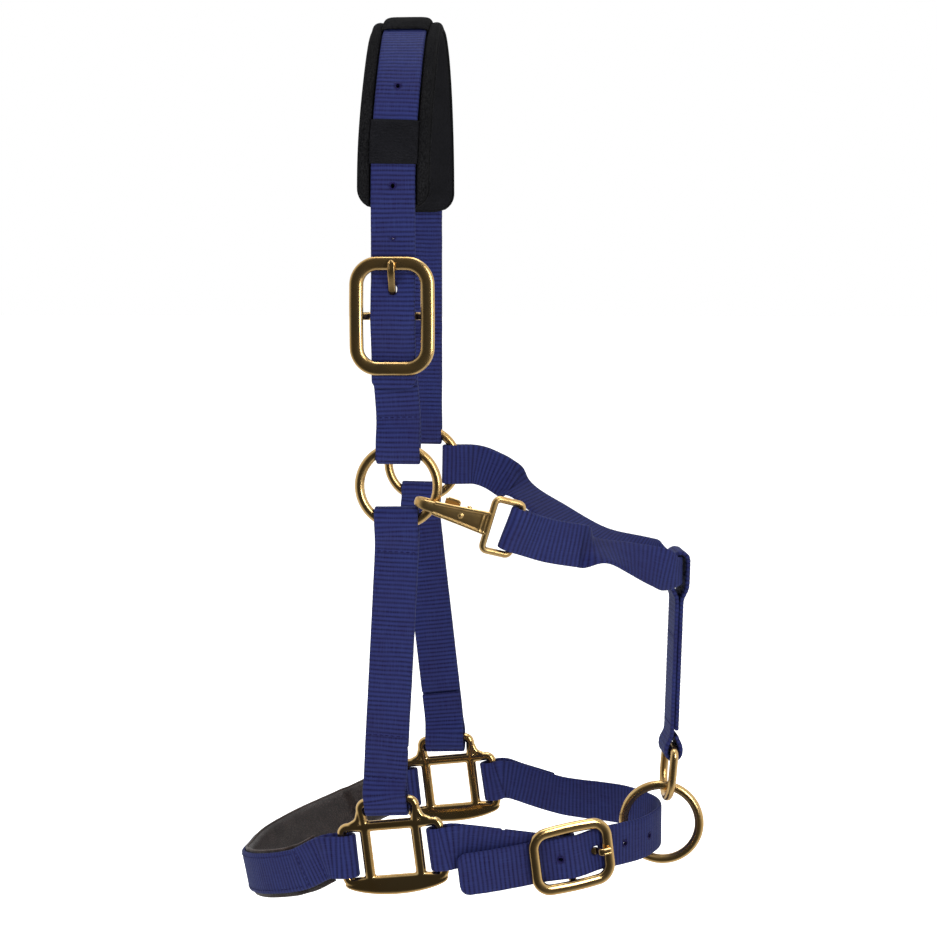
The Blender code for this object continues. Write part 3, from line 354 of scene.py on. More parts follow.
def swept_faces(count, n):
    """Faces of a closed shell made of count outlines with n points each."""
    faces = []
    for i in range(count - 1):
        for k in range(n):
            m = (k + 1) % n
            faces.append((n * i + m, n * i + k, n * i + n + k, n * i + n + m))
    return [*faces, tuple(range(n)), tuple(n * (count - 1) + k for k in range(n))[::-1]]


def even(in_plane, deep=None):
    """The half sizes of a bar that is the same all along."""
    return lambda _: (in_plane, in_plane if deep is None else deep)


def join_shells(shells):
    """One set of verts and faces out of several."""
    verts, faces = [], []
    for some_verts, some_faces in shells:
        start = len(verts)
        verts += some_verts
        faces += [tuple(start + i for i in face) for face in some_faces]
    return verts, faces


def cast(name, shells, voxel, rounds, finish, keep=0.55):
    """One casting out of overlapping closed shells, with fillets where they meet."""
    obj = piece(name, *join_shells(shells), finish, name, slot="solid_brass")
    remesh = obj.modifiers.new("fuse", "REMESH")
    remesh.mode = "VOXEL"
    remesh.voxel_size = voxel
    remesh.use_smooth_shade = True
    soften = obj.modifiers.new("soften", "SMOOTH")
    soften.factor = 0.5
    soften.iterations = rounds
    thin = obj.modifiers.new("thin", "DECIMATE")
    thin.ratio = keep
    return bake_modifiers(obj)


# ---------------------------------------------------------------- curves and sweeps


def catmull(points, steps):
    """A smooth curve through the points."""
    ends = [2 * points[0] - points[1], *points, 2 * points[-1] - points[-2]]
    curve = []
    for a, b, c, d in zip(ends, ends[1:], ends[2:], ends[3:]):
        for i in range(steps):
            t = i / steps
            square, cube = 2 * a - 5 * b + 4 * c - d, 3 * b - a - 3 * c + d
            curve.append(0.5 * (2 * b + (c - a) * t + square * t**2 + cube * t**3))
    return [*curve, points[-1].copy()]


def in_mm(*triples):
    """Points given in millimetres."""
    return [Vector(triple) * MM for triple in triples]


def smooth(t):
    """An ease from 0 to 1."""
    t = min(max(t, 0.0), 1.0)
    return t * t * (3 - 2 * t)


class Rail:
    """A smooth line with a width direction along it. Beyond its ends it goes straight on."""

    def __init__(self, points, widths, steps=24):
        self.line = catmull(points, steps)
        across = catmull(widths, steps)
        self.s = [0.0]
        for a, b in zip(self.line, self.line[1:]):
            self.s.append(self.s[-1] + (b - a).length)
        last = len(self.line) - 1
        self.frames = []
        for i in range(last + 1):
            t = (self.line[min(i + 1, last)] - self.line[max(i - 1, 0)]).normalized()
            w = (across[i] - t * across[i].dot(t)).normalized()
            self.frames.append((t, w))

    @property
    def length(self):
        return self.s[-1]

    def frame_at(self, s):
        """(point, direction, width direction) at s along the rail."""
        i = min(max(bisect.bisect_left(self.s, s) - 1, 0), len(self.s) - 2)
        share = (s - self.s[i]) / (self.s[i + 1] - self.s[i])
        inside = min(max(share, 0.0), 1.0)
        t = self.frames[i][0].lerp(self.frames[i + 1][0], inside).normalized()
        w = self.frames[i][1].lerp(self.frames[i + 1][1], inside)
        w = (w - t * w.dot(t)).normalized()
        point = self.line[i].lerp(self.line[i + 1], inside)
        return point + t * (share - inside) * (self.s[i + 1] - self.s[i]), t, w

    def at(self, s, h, across=0.0):
        point, t, w = self.frame_at(s)
        return point + w.cross(t) * h + w * across

    def nearest(self, place):
        """The s of the rail's point closest to place."""
        found = []
        for i, (a, b) in enumerate(zip(self.line, self.line[1:])):
            step = b - a
            share = min(max((place - a).dot(step) / step.length_squared, 0.0), 1.0)
            found.append(((a + step * share - place).length, self.s[i] + step.length * share))
        return min(found)[1]


def run(start, stop, h, spacing=2 * MM, bump=None):
    """Flat points from start to stop at height h, or at a height that changes from h[0] to h[1]."""
    h0, h1 = h if isinstance(h, tuple) else (h, h)
    count = max(2, math.ceil(abs(stop - start) / spacing))
    points = []
    for k in range(count + 1):
        s = start + (stop - start) * k / count
        height = h0 + (h1 - h0) * smooth(k / count)
        points.append((s, height + (bump(s) if bump else 0.0)))
    return points


def eye(bar, way, radius, fold, hold, ease=12 * MM, into=-1, turns=28):
    """A strap's end eye: in on the side into, round the bar and out on the other, as in the part."""

    def side(h_sign, steps):
        found = []
        for k in range(steps + 1):
            t = k / steps
            height = LAYER + (radius - LAYER) * smooth(t)
            found.append((bar - way * (hold + ease * (1 - t)), h_sign * height))
        return found

    points = side(into, 12)
    for k in range(turns + 1):
        angle = math.pi * k / turns
        points.append((bar + way * (fold + radius * math.sin(angle)), into * radius * math.cos(angle)))
    return points + side(-into, 12)[::-1]


def ring_eye(bar, way, into, fold=4.5 * MM):
    return eye(bar, way, 4.5 * MM, fold, 3.6 * MM, into=into)


def bar_eye(bar, way, into, radius=4.6 * MM):
    return eye(bar, way, radius, 2.4 * MM, 3.2 * MM, into=into)


def heel_fold(end, way, into, shift, straight=11 * MM):
    """The eye round a heel bar, which lies shift outwards from the strap's middle."""
    points = []
    for s, h in eye(end, way, HEEL_BAR + GAP + WEB_THICK / 2, 0, 2.0 * MM, 9 * MM, into=into):
        share = 1 - smooth((way * (end - s) - 2.5 * MM) / (straight - 2.5 * MM))
        points.append((s, h + shift * share))
    return points


def resample(flat, spacing):
    """The flat polyline at an even spacing, with its running length."""
    kept = [flat[0]]
    for p in flat[1:]:
        if math.dist(p, kept[-1]) > 0.05 * MM:
            kept.append(p)
    lengths = [0.0]
    for a, b in zip(kept, kept[1:]):
        lengths.append(lengths[-1] + math.dist(a, b))
    count = round(lengths[-1] / spacing)
    found = []
    i = 0
    for k in range(count + 1):
        u = lengths[-1] * k / count
        while i < len(kept) - 2 and lengths[i + 1] < u:
            i += 1
        share = (u - lengths[i]) / (lengths[i + 1] - lengths[i])
        a, b = kept[i], kept[i + 1]
        found.append((a[0] + (b[0] - a[0]) * share, a[1] + (b[1] - a[1]) * share))
    return found


def relax(values, rounds):
    """Evens out a row of numbers or vectors, with its ends kept."""
    for _ in range(rounds):
        inner = [(a + b * 2 + c) / 4 for a, b, c in zip(values, values[1:], values[2:])]
        values = [values[0], *inner, values[-1]]
    return values


def section(half_width, half_thick, columns=9):
    """Rounded outline of the webbing: (across, out, rib share) points. The ribs die away at the edges."""
    corner = 0.95 * MM
    flat = half_width - corner
    top = [(-flat + 2 * flat * k / (columns - 1), half_thick, 1.0) for k in range(columns)]
    right = []
    for k in range(1, 4):
        angle = math.pi / 2 - math.pi * k / 4
        right.append((flat + corner * math.cos(angle), half_thick * math.sin(angle), 0.55))
    bottom = [(-a, -h, r) for a, h, r in top]
    left = [(-a, -h, r) for a, h, r in right]
    return top + right + bottom + left


class Web:
    """A strip of ribbed webbing laid on a rail. It remembers where it lies, so that details can be added."""

    def __init__(self, name, rail, flat, width=None, starts=END_CORNER, seed=0.0):
        self.flat = resample(flat, SPACING)
        count = len(self.flat)
        centres, widths = [], []
        for s, h in self.flat:
            point, t, w = rail.frame_at(s)
            centres.append(point + w.cross(t) * h)
            widths.append(w)
        self.centres = relax(centres, RELAX_ROUNDS)
        self.frames = []
        for i in range(count):
            t = (self.centres[min(i + 1, count - 1)] - self.centres[max(i - 1, 0)]).normalized()
            across = (widths[i] - t * widths[i].dot(t)).normalized()
            self.frames.append((t, across, across.cross(t)))
        self.u = [0.0]
        for a, b in zip(self.centres, self.centres[1:]):
            self.u.append(self.u[-1] + (b - a).length)
        self.length = self.u[-1]
        verts, ribs = [], []
        for i in range(count):
            t, across, out = self.frames[i]
            u = self.u[i]
            half = (width(self.flat[i][0]) if width else WEB_WIDTH) / 2
            half = min(half, self.rounded(half, u, starts), self.rounded(half, self.length - u, END_CORNER))
            end = min(u, self.length - u)
            thick = SHOWN_THICK / 2 * (0.72 + 0.28 * smooth(end / (0.9 * MM)))
            sway = 0.10 * MM * noise.noise(Vector((u / (11 * MM), seed, 3.1)))
            for a, h, share in section(half, thick):
                wander = 0.42 * MM * noise.noise(Vector((u / (17 * MM), a / (13 * MM) + seed, seed)))
                phase = math.pi * (u + wander) / RIB_PITCH
                rib = abs(math.sin(phase)) ** 0.8
                lift = RIB_RISE * (rib - 0.6) * share
                lift += 0.07 * MM * noise.noise(Vector((u / (5 * MM), a / (5 * MM), seed + 7.7)))
                side = math.copysign(1.0, h) if share == 1.0 else 0.0
                edge = math.copysign(lift * 1.1, a) if share < 1.0 else 0.0
                verts.append(self.centres[i] + across * (a + edge + sway) + out * (h + side * lift))
                ribs.append(rib)
        outline = section(WEB_WIDTH / 2, SHOWN_THICK / 2)
        n = len(outline)
        self.name, self.body = name, NODE_BODY[name]
        self.obj = piece(name, verts, swept_faces(count, n), NAVY, name, slot="navy_webbing")
        mesh = self.obj.data
        mesh.attributes.new("rib", "FLOAT", "POINT").data.foreach_set("value", ribs)
        v_along = [0.0]
        for p, q in zip(outline, outline[1:]):
            v_along.append(v_along[-1] + math.dist(p[:2], q[:2]))
        layer = mesh.uv_layers.new(name="web_uv")
        coords = []
        for loop in mesh.loops:
            i, k = divmod(loop.vertex_index, n)
            coords += [self.u[i], v_along[k]]
        layer.data.foreach_set("uv", coords)

    @staticmethod
    def rounded(half, left, radius):
        """Half width where an end corner of this radius takes some away."""
        if left >= radius:
            return half
        return half - radius + math.sqrt(max(radius**2 - (radius - left) ** 2, 0.0))

    def spot(self, s, side):
        """The index of the place at s along the rail on the outer (1) or inner (-1) layer."""

        def distance(i):
            place, height = self.flat[i]
            return abs(place - s) + (0 if side * height >= -0.2 * MM else 1.0)

        return min(range(len(self.flat)), key=distance)

    def oval(self, spot, sides, grow=0.0):
        """The points of an oval on the strap's middle layer. A spot is (index, half length, half width)."""
        i, long, wide = spot
        t, across, _ = self.frames[i]
        points = []
        for k in range(sides):
            angle = 2 * math.pi * k / sides
            along, aside = (long + grow) * math.cos(angle), (wide + grow) * math.sin(angle)
            points.append(self.centres[i] + t * along + across * aside)
        return points

    def cut(self, spots):
        """Punches oval holes."""
        shells = []
        sides = 20
        for spot in spots:
            out = self.frames[spot[0]][2]
            oval = self.oval(spot, sides)
            verts = [p + out * depth for depth in (-7 * MM, 7 * MM) for p in oval]
            faces = [(k, sides + k, sides + (k + 1) % sides, (k + 1) % sides) for k in range(sides)]
            faces += [tuple(range(sides)), tuple(sides + k for k in range(sides))[::-1]]
            shells.append((verts, faces))
        subtract(self.obj, *join_shells(shells))

    def rims(self, spots):
        """The melted rim round each hole, on both faces."""
        shells = []
        for spot in spots:
            out = self.frames[spot[0]][2]
            for side in (-1, 1):
                rise = side * (SHOWN_THICK / 2 - 0.05 * MM)
                path = [p + out * rise for p in self.oval(spot, 28, 0.1 * MM)]
                shells.append(tube(path, out, even(0.42 * MM, 0.34 * MM), True, 8))
        piece(self.name + "_hole_rims", *join_shells(shells), MELTED, body=self.body, slot="navy_webbing")

    def row_across(self, s, side):
        """Stitch places in a row across the strap, on its outer face."""
        i = self.spot(s, side)
        _, across, out = self.frames[i]
        height = self.flat[i][1]
        outwards = out * (math.copysign(1.0, height) if height else side)
        inner_width = WEB_WIDTH - 2 * STITCH_INSET
        count = int(inner_width / STITCH_PITCH)
        places = []
        for k in range(count + 1):
            v = (k / count - 0.5) * inner_width
            point = self.centres[i] + across * v + outwards * (SHOWN_THICK / 2)
            places.append((point, across, outwards))
        return places

    def row_along(self, s0, s1, side, v):
        """Stitch places in a row along the strap at v across it."""
        i, j = self.spot(s0, side), self.spot(s1, side)
        step = max(1, round(STITCH_PITCH / SPACING))
        places = []
        for k in range(min(i, j), max(i, j), step):
            t, across, out = self.frames[k]
            outwards = out * math.copysign(1.0, self.flat[k][1])
            places.append((self.centres[k] + across * v + outwards * (SHOWN_THICK / 2), t, outwards))
        return places

    def sew(self, rows, more=()):
        """Rows of stitches across the strap, given as (s, side)."""
        places = []
        for s, side in rows:
            places += self.row_across(s, side)
        stitches(self.name + "_stitches", self.body, [*places, *more])


def tube(path, normal, half, closed=False, sides=20, power=2.0, normals=None):
    """A closed shell swept along a path. half(i) gives its half sizes in the path's plane and across it."""
    count = len(path)
    verts = []
    for i, point in enumerate(path):
        before = path[i - 1] if closed or i else path[0]
        after = path[(i + 1) % count] if closed or i < count - 1 else path[-1]
        up = normals[i] if normals else normal
        side = (after - before).normalized().cross(up).normalized()
        in_plane, deep = half(i)
        for k in range(sides):
            angle = 2 * math.pi * (k + 0.5) / sides
            c, d = math.cos(angle), math.sin(angle)
            a = math.copysign(abs(c) ** (2 / power), c)
            b = math.copysign(abs(d) ** (2 / power), d)
            verts.append(point + side * (in_plane * a) + up * (deep * b))
    faces = []
    for i in range(count if closed else count - 1):
        for k in range(sides):
            m = (k + 1) % sides
            j = (i + 1) % count
            faces.append((sides * i + k, sides * i + m, sides * j + m, sides * j + k))
    if not closed:
        faces += [tuple(range(sides))[::-1], tuple(sides * (count - 1) + k for k in range(sides))]
    return verts, faces


def turn_between(a, b, share):
    """The arm a swung towards the equally long arm b by a share of the angle between them."""
    angle = a.angle(b)
    if angle < 1e-6:
        return a.copy()
    return (a * math.sin((1 - share) * angle) + b * math.sin(share * angle)) / math.sin(angle)


def round_corners(corners, radius, closed, steps=8):
    """A path through flat corners, each one rounded by an arc."""
    count = len(corners)
    path = []
    for i, corner in enumerate(corners):
        if not closed and i in (0, count - 1):
            path.append(corner)
            continue
        back = (corners[i - 1] - corner).normalized()
        ahead = (corners[(i + 1) % count] - corner).normalized()
        half_angle = math.acos(max(-1.0, min(1.0, back.dot(ahead)))) / 2
        trim = radius / math.tan(half_angle)
        centre = corner + (back + ahead).normalized() * (radius / math.sin(half_angle))
        a = corner + back * trim - centre
        b = corner + ahead * trim - centre
        for k in range(steps + 1):
            path.append(centre + turn_between(a, b, k / steps))
    return path


def ball(centre, radius, rings=8, sides=12, squash=Z * 0):
    """A small closed sphere, drawn out along squash."""
    axis = squash.normalized() if squash.length else Z
    side = axis.orthogonal().normalized()
    other = axis.cross(side)
    reach = squash.length or radius
    verts = [centre - axis * reach]
    for i in range(1, rings):
        angle = math.pi * i / rings - math.pi / 2
        for k in range(sides):
            turn = 2 * math.pi * k / sides
            flat = side * math.cos(turn) + other * math.sin(turn)
            verts.append(centre + axis * (reach * math.sin(angle)) + flat * (radius * math.cos(angle)))
    verts.append(centre + axis * reach)
    faces = [(0, 1 + (k + 1) % sides, 1 + k) for k in range(sides)]
    for i in range(rings - 2):
        for k in range(sides):
            a, b = 1 + i * sides + k, 1 + i * sides + (k + 1) % sides
            faces.append((a, b, b + sides, a + sides))
    top = len(verts) - 1
    start = top - sides
    faces += [(top, start + k, start + (k + 1) % sides) for k in range(sides)]
    return verts, faces


def stitches(name, body, places, finish=None, slot="navy_webbing", thick=0.34 * MM, long=1.25 * MM):
    """Short raised stitches. Each place is (point, direction, outwards)."""
    shells = [ball(point + out * (0.06 * MM), thick, 6, 8, t * long) for point, t, out in places]
    piece(name, *join_shells(shells), finish or THREAD, body=body, slot=slot)


# ---------------------------------------------------------------- rings, squares and link


def ring(name, centre, axis, radius):
    side = axis.cross(Z).normalized()
    up = side.cross(axis)
    path = []
    for k in range(112):
        angle = 2 * math.pi * k / 112
        path.append(centre + side * (radius * math.cos(angle)) + up * (radius * math.sin(angle)))
    verts, faces = tube(path, axis, even(RING_WIRE), True, 28)
    return piece(name, verts, faces, SATIN_BRASS, name, slot="solid_brass")


def square_axes():
    """The square's own right and up directions, tilted nose down."""
    right = Vector((math.cos(SQUARE_TILT), 0, math.sin(SQUARE_TILT)))
    up = Vector((-math.sin(SQUARE_TILT), 0, math.cos(SQUARE_TILT)))
    return right, up


def bar_place(centre, side):
    """The middle of a square's outer bar."""
    right, up = square_axes()
    if side == "top":
        return centre + up * (WINDOW_Z + OUTER_STEP)
    sign = -1 if side == "left" else 1
    return centre + right * (sign * (WINDOW_X + OUTER_STEP))


def square(name, centre):
    """A cast halter square: a window, three loops for the straps and a heavy crescent foot."""
    right, up = square_axes()

    def path(points, closed, radius=3.6 * MM):
        corners = [centre + right * (x * MM) + up * (z * MM) for x, z in points]
        return round_corners(corners, radius, closed)

    wx, wz, step, ear = WINDOW_X / MM, WINDOW_Z / MM, OUTER_STEP / MM, EAR_HALF / MM
    window = path(((-wx, -wz), (wx, -wz), (wx, wz), (-wx, wz)), True, 3.0 * MM)
    shells = [tube(window, Y, even(POST_HALF, BAR), True, 24)]
    loops = (
        ((-wx, wz - 1), (-ear, wz + step), (ear, wz + step), (wx, wz - 1)),
        ((-wx + 1, wz - 0.5), (-wx - step, ear), (-wx - step, -ear), (-wx + 1, -wz + 0.5)),
        ((wx - 1, wz - 0.5), (wx + step, ear), (wx + step, -ear), (wx - 1, -wz + 0.5)),
    )
    for points in loops:
        shells.append(tube(path(points, False), Y, even(BAR), False, 24))
    count = 41
    reach = wx + step + 1.6
    foot = []
    for k in range(count):
        x = reach * (2 * k / (count - 1) - 1)
        sag = 1 - (x / reach) ** 2
        foot.append(centre + right * (x * MM) + up * ((-wz - 0.8 - 2.6 * sag) * MM))

    def foot_half(i):
        x = 2 * i / (count - 1) - 1
        return (0.7 + 4.7 * (1 - x * x) ** 0.5) * MM, (1.3 + 2.0 * (1 - x * x) ** 0.5) * MM

    shells.append(tube(foot, Y, foot_half, False, 28, power=3.0))
    for side in (-1, 1):
        corner = ((ear + 0.3, wz + 9), (ear + 2.2, wz + 3.2), (wx + 9, wz + 0.6))
        brace = [centre + right * (side * x * MM) + up * (z * MM) for x, z in corner]
        shells.append(tube(round_corners(brace, 5 * MM, False), Y, even(BRACE_HALF), False, 20))
    return cast(name, shells, 0.46 * MM, 4, BRASS)


LINK_TOP = Vector((155.2, 0.0, -429.0)) * MM
LINK_HEIGHT = 31.2 * MM
LINK_HALF = 15.6 * MM
LINK_WIRE = 2.5 * MM
CONNECTOR_ACROSS = Vector((-0.2, 0.98, 0)).normalized()
LINK_DOWN = Vector((-0.08, 0, -1)).normalized()


def connector_link():
    """A brass D-link: a straight top for the strap and a round foot for the ring."""
    across, down = CONNECTOR_ACROSS, LINK_DOWN
    corner = 4 * MM

    def arc(sign):
        points = []
        for k in range(9):
            angle = math.pi / 2 * k / 8
            out = LINK_HALF - corner * (1 - math.sin(angle))
            points.append(LINK_TOP + across * (sign * out) + down * (corner * (1 - math.cos(angle))))
        return points

    path = arc(1)
    low = LINK_HEIGHT - LINK_HALF
    for k in range(1, 40):
        angle = math.pi * k / 40
        below = down * (low + LINK_HALF * math.sin(angle))
        path.append(LINK_TOP + below + across * (LINK_HALF * math.cos(angle)))
    path += arc(-1)[::-1]
    verts, faces = tube(path, across.cross(down).normalized(), even(LINK_WIRE), True, 24)
    return piece("connector_link", verts, faces, SATIN_BRASS, "connector_link", slot="solid_brass")


# ---------------------------------------------------------------- buckles

HEEL_DEPTH = 5.6 * MM
FRAME_HALF_DEPTH = 2.2 * MM
BILLET_BEHIND = FRAME_HALF_DEPTH + GAP + WEB_THICK / 2
BILLET_OVER = -HEEL_DEPTH + HEEL_BAR + 2 * (GAP + WEB_THICK) - WEB_THICK / 2
KEEPER_STACK = BILLET_BEHIND + 1.5 * (WEB_THICK + GAP)


class Buckle:
    """Sizes and the local frame of a heel-bar buckle: u towards the tongue's tip, w across, h outwards."""

    def __init__(self, name, place, u, h, half_u, half_w, bar_half, corner, bulge, finish):
        self.finish = finish
        self.name = name
        self.place = place
        self.u = u.normalized()
        self.h = (h - self.u * h.dot(self.u)).normalized()
        self.w = self.u.cross(self.h)
        self.half_u = half_u
        self.half_w = half_w
        self.bar_half = bar_half
        self.corner = corner
        self.bulge = bulge

    def point(self, u, w, h):
        return self.place + self.u * u + self.w * w + self.h * h

    def outline(self, inset=0.0):
        half_w, half_u = self.half_w - inset, self.half_u - inset
        corners = [Vector((a * half_w, b * half_u, 0)) for a, b in ((-1, -1), (1, -1), (1, 1), (-1, 1))]
        path = []
        rounded = round_corners(corners, self.corner - inset, True, 12)
        for p, q in zip(rounded, [*rounded[1:], rounded[0]]):
            steps = max(1, round((q - p).length / (1.5 * MM)))
            for k in range(steps):
                v = p.lerp(q, k / steps)
                swell = 1 + self.bulge * (1 - (v.y / self.half_u) ** 2)
                path.append(self.point(v.y, v.x * swell, 0))
        return path

    def frame(self):
        """A heavy polished frame with a bevelled inner edge and a recessed heel bar."""
        half = self.bar_half
        shells = [
            tube(self.outline(), self.h, even(half, FRAME_HALF_DEPTH + 0.1 * MM), True, 28, 2.5),
            tube(self.outline(0.62 * half), self.h, even(half * 0.46, 1.5 * MM), True, 16, 2.4),
        ]
        reach = self.half_w * (1 + self.bulge)
        knee = WEB_WIDTH / 2 + 1.6 * MM
        steps = ((-reach, 0), (-knee, -HEEL_DEPTH), (knee, -HEEL_DEPTH), (reach, 0))
        heel = round_corners([self.point(0, w, h) for w, h in steps], 1.5 * MM, False, 5)
        shells.append(tube(heel, self.u, even(HEEL_BAR), False, 20))
        return cast(self.name + "_frame", shells, 0.36 * MM, 4, self.finish)

    def tongue(self):
        """A grooved tongue that turns on the heel bar and rests on the frame's end bar."""
        ring_radius = HEEL_BAR + GAP + 1.0 * MM
        path = []
        for k in range(31):
            angle = math.radians(60 - 29 * k / 3)
            height = -HEEL_DEPTH + ring_radius * math.cos(angle)
            path.append(self.point(ring_radius * math.sin(angle), 0, height))
        rest = FRAME_HALF_DEPTH + GAP + 1.1 * MM
        line = [(ring_radius * 0.95, -HEEL_DEPTH + ring_radius * 0.3), (9 * MM, -3.6 * MM), (15.5 * MM, -MM)]
        for u, h in ((-6, -0.5), (-1.5, 0.1), (1.8, -0.1)):
            line.append((self.half_u + u * MM, rest + h * MM))
        shank = catmull([self.point(u, 0, h) for u, h in line], 8)
        last = len(shank) - 1

        def shank_half(i):
            taper = 1.0 - 0.5 * smooth((i / last - 0.86) / 0.14)
            return 1.1 * MM * taper, (2.45 - 0.35 * i / last) * MM * taper

        shells = [
            tube(path, self.w, even(1.0 * MM, 2.5 * MM), False, 20, 2.8),
            tube(shank, self.w, shank_half, False, 20, 2.4),
        ]
        for side in (-1, 1):
            ridge = [p + self.w * (side * 1.35 * MM) + self.h * (0.75 * MM) for p in shank[14:-3]]
            shells.append(tube(ridge, self.w, even(0.5 * MM, 0.6 * MM), False, 10))
        return cast(self.name + "_tongue", shells, 0.27 * MM, 2, self.finish, 0.5)

    def billet_bump(self, heel_s):
        """How far the billet lifts off its rail to ride over the heel bar."""
        rise = BILLET_OVER + BILLET_BEHIND
        reach = self.half_u - 2.5 * MM

        def bump(s):
            share = min(abs(s - heel_s) / reach, 1.0)
            return rise * math.cos(math.pi / 2 * share) ** 2

        return bump

    def clear_slot(self, web):
        """Cuts the middle of the buckle strap's fold away for the tongue."""
        origin = self.place - self.h * HEEL_DEPTH
        verts = []
        for k in (-8, 8):
            for i, j in ((-8.5, -3.3), (9, -3.3), (9, 3.3), (-8.5, 3.3)):
                verts.append(origin + self.u * (i * MM) + self.w * (j * MM) + self.h * (k * MM))
        faces = [(0, 3, 2, 1), (4, 5, 6, 7), (0, 1, 5, 4), (1, 2, 6, 5), (2, 3, 7, 6), (3, 0, 4, 7)]
        subtract(web.obj, verts, faces)


CROWN_BUCKLE = Buckle(
    "crown_buckle", CROWN_HEEL, Z, -RING_AXIS, 30.0 * MM, 20.2 * MM, 3.9 * MM, 12.0 * MM, 0.02, SATIN_BRASS
)
CHIN_HEEL = Vector((100.5, -63.5, -481.6)) * MM
CHIN_BUCKLE = Buckle(
    "chin_buckle",
    CHIN_HEEL,
    Vector((0.905, 0.41, 0.13)),
    Vector((0.41, -0.905, 0.0)),
    22.8 * MM,
    16.4 * MM,
    3.1 * MM,
    8.0 * MM,
    0.08,
    BRASS,
)


# ---------------------------------------------------------------- crown


def crown_place(q, z, aside=0.0):
    """A point of the crown's plane: q across the head, z up, and aside towards the throat."""
    return NEAR_RING + RING_AXIS * (q - NEAR_RING.y) + Z * (z - NEAR_RING.z) + CROSS * aside


def crown_rail():
    middle = CROWN_MIDDLE
    points = [crown_place(middle - CROWN_HALF, z * MM, BILLET_ASIDE) for z in (-207, -181, -153, -122)]
    count = 14
    for k in range(count + 1):
        angle = math.pi * k / count
        q = middle - CROWN_HALF * math.cos(angle)
        z = CROWN_SPRING_Z + (CROWN_TOP - CROWN_SPRING_Z) * math.sin(angle)
        points.append(crown_place(q, z, BILLET_ASIDE * (1 - smooth(k / 4))))
    far = middle + CROWN_HALF
    points += [crown_place(far, z * MM) for z in (-125, -165, -205)]
    points.append(FAR_RING + Z * RING_RADIUS - CROSS * (0.3 * MM))
    return Rail(points, [CROSS.copy() for _ in points])


def crown_strap(rail):
    heel_s = rail.nearest(CROWN_HEEL)
    end = rail.length
    behind = -CROWN_HEEL.y - BILLET_BEHIND - (CROWN_HALF - CROWN_MIDDLE)
    leaves, joins = heel_s + BILLET_LEAVES, heel_s + BILLET_JOINS
    flat = run(0, leaves, behind, bump=CROWN_BUCKLE.billet_bump(heel_s))
    flat += run(leaves, joins, (behind, LAYER))[1:]
    flat += run(joins, end - 20 * MM, LAYER)[1:]
    flat += ring_eye(end, 1, 1)
    flat += run(end - 20 * MM, end - CROWN_LAP, -LAYER)[1:]
    web = Web("crown_strap", rail, flat, starts=5 * MM, seed=1.0)
    marks = [web.spot(heel_s + TONGUE_HOLE + k * HOLE_PITCH, 1) for k in range(5)]
    slot = (marks[0], TONGUE_SLOT, TONGUE_SLOT_HALF)
    healed = (marks[1], 0.75 * MM, 0.5 * MM)
    spots = [(marks[k], HOLE_RADIUS, HOLE_RADIUS * 0.85) for k in (2, 4)] + [healed]
    web.cut([slot, *spots])
    web.rims(spots)
    web.sew(((end - 40 * MM, 1), (end - 46 * MM, 1), (end - 18 * MM, 1)))


def crown_buckle_strap():
    """The short doubled strap between the crown buckle's heel bar and the near ring."""
    top = CROWN_BUCKLE.point(0, 0, -KEEPER_STACK)
    foot = NEAR_RING + Z * RING_RADIUS
    rail = Rail([top, top - Z * (20 * MM), foot + Z * (20 * MM), foot], [-CROSS] * 4)
    end = rail.length
    join = end * 0.45
    flat = run(join, 11 * MM, -LAYER)[:-1]
    flat += heel_fold(0, -1, -1, KEEPER_STACK - HEEL_DEPTH)
    flat += run(11 * MM, end - RING_EYE_LENGTH, LAYER)[1:]
    flat += ring_eye(end, 1, 1)
    flat += run(end - RING_EYE_LENGTH, join + 1 * MM, -LAYER)[1:]
    web = Web("crown_buckle_strap", rail, flat, seed=2.0)
    CROWN_BUCKLE.clear_slot(web)
    web.sew(((end - 17 * MM, 1), (end * 0.5, 1)))


def pad_stations(rail, count):
    """Even places along the pad: symmetric about the poll, but drawn up a little at the far end."""
    top = rail.nearest(crown_place(CROWN_MIDDLE, CROWN_TOP))
    first = rail.nearest(crown_place(CROWN_MIDDLE - CROWN_HALF, PAD_END_Z, BILLET_ASIDE))
    half = top - first
    stations = []
    for k in range(count):
        share = 2 * k / (count - 1) - 1
        stations.append(top + half * share - PAD_FAR_SHORT * smooth((share - 0.5) / 0.5))
    return stations


def loft(name, rail, stations, profile, finish, slot, wrinkle=0.0, seed=0.0):
    """A solid along the rail from closed (across, out) outlines, with soft unevenness."""
    verts = []
    for s in stations:
        point, t, w = rail.frame_at(s)
        out = w.cross(t)
        for a, h in profile(s):
            p = point + w * a + out * h
            if wrinkle:
                p += out * (wrinkle * noise.noise(p * 70 + Vector((seed, 0, 0))))
                p += w * (wrinkle * 0.7 * noise.noise(p * 45 + Vector((0, seed, 5))))
            verts.append(p)
    faces = swept_faces(len(stations), len(profile(stations[0])))
    return piece(name, verts, faces, finish, name, slot=slot)


def pad_half(left, corner):
    """Half width of the pad, rounded in at its ends."""
    if left >= corner:
        return PAD_WIDTH / 2
    return PAD_WIDTH / 2 - corner + math.sqrt(max(corner**2 - (corner - left) ** 2, 0.0))


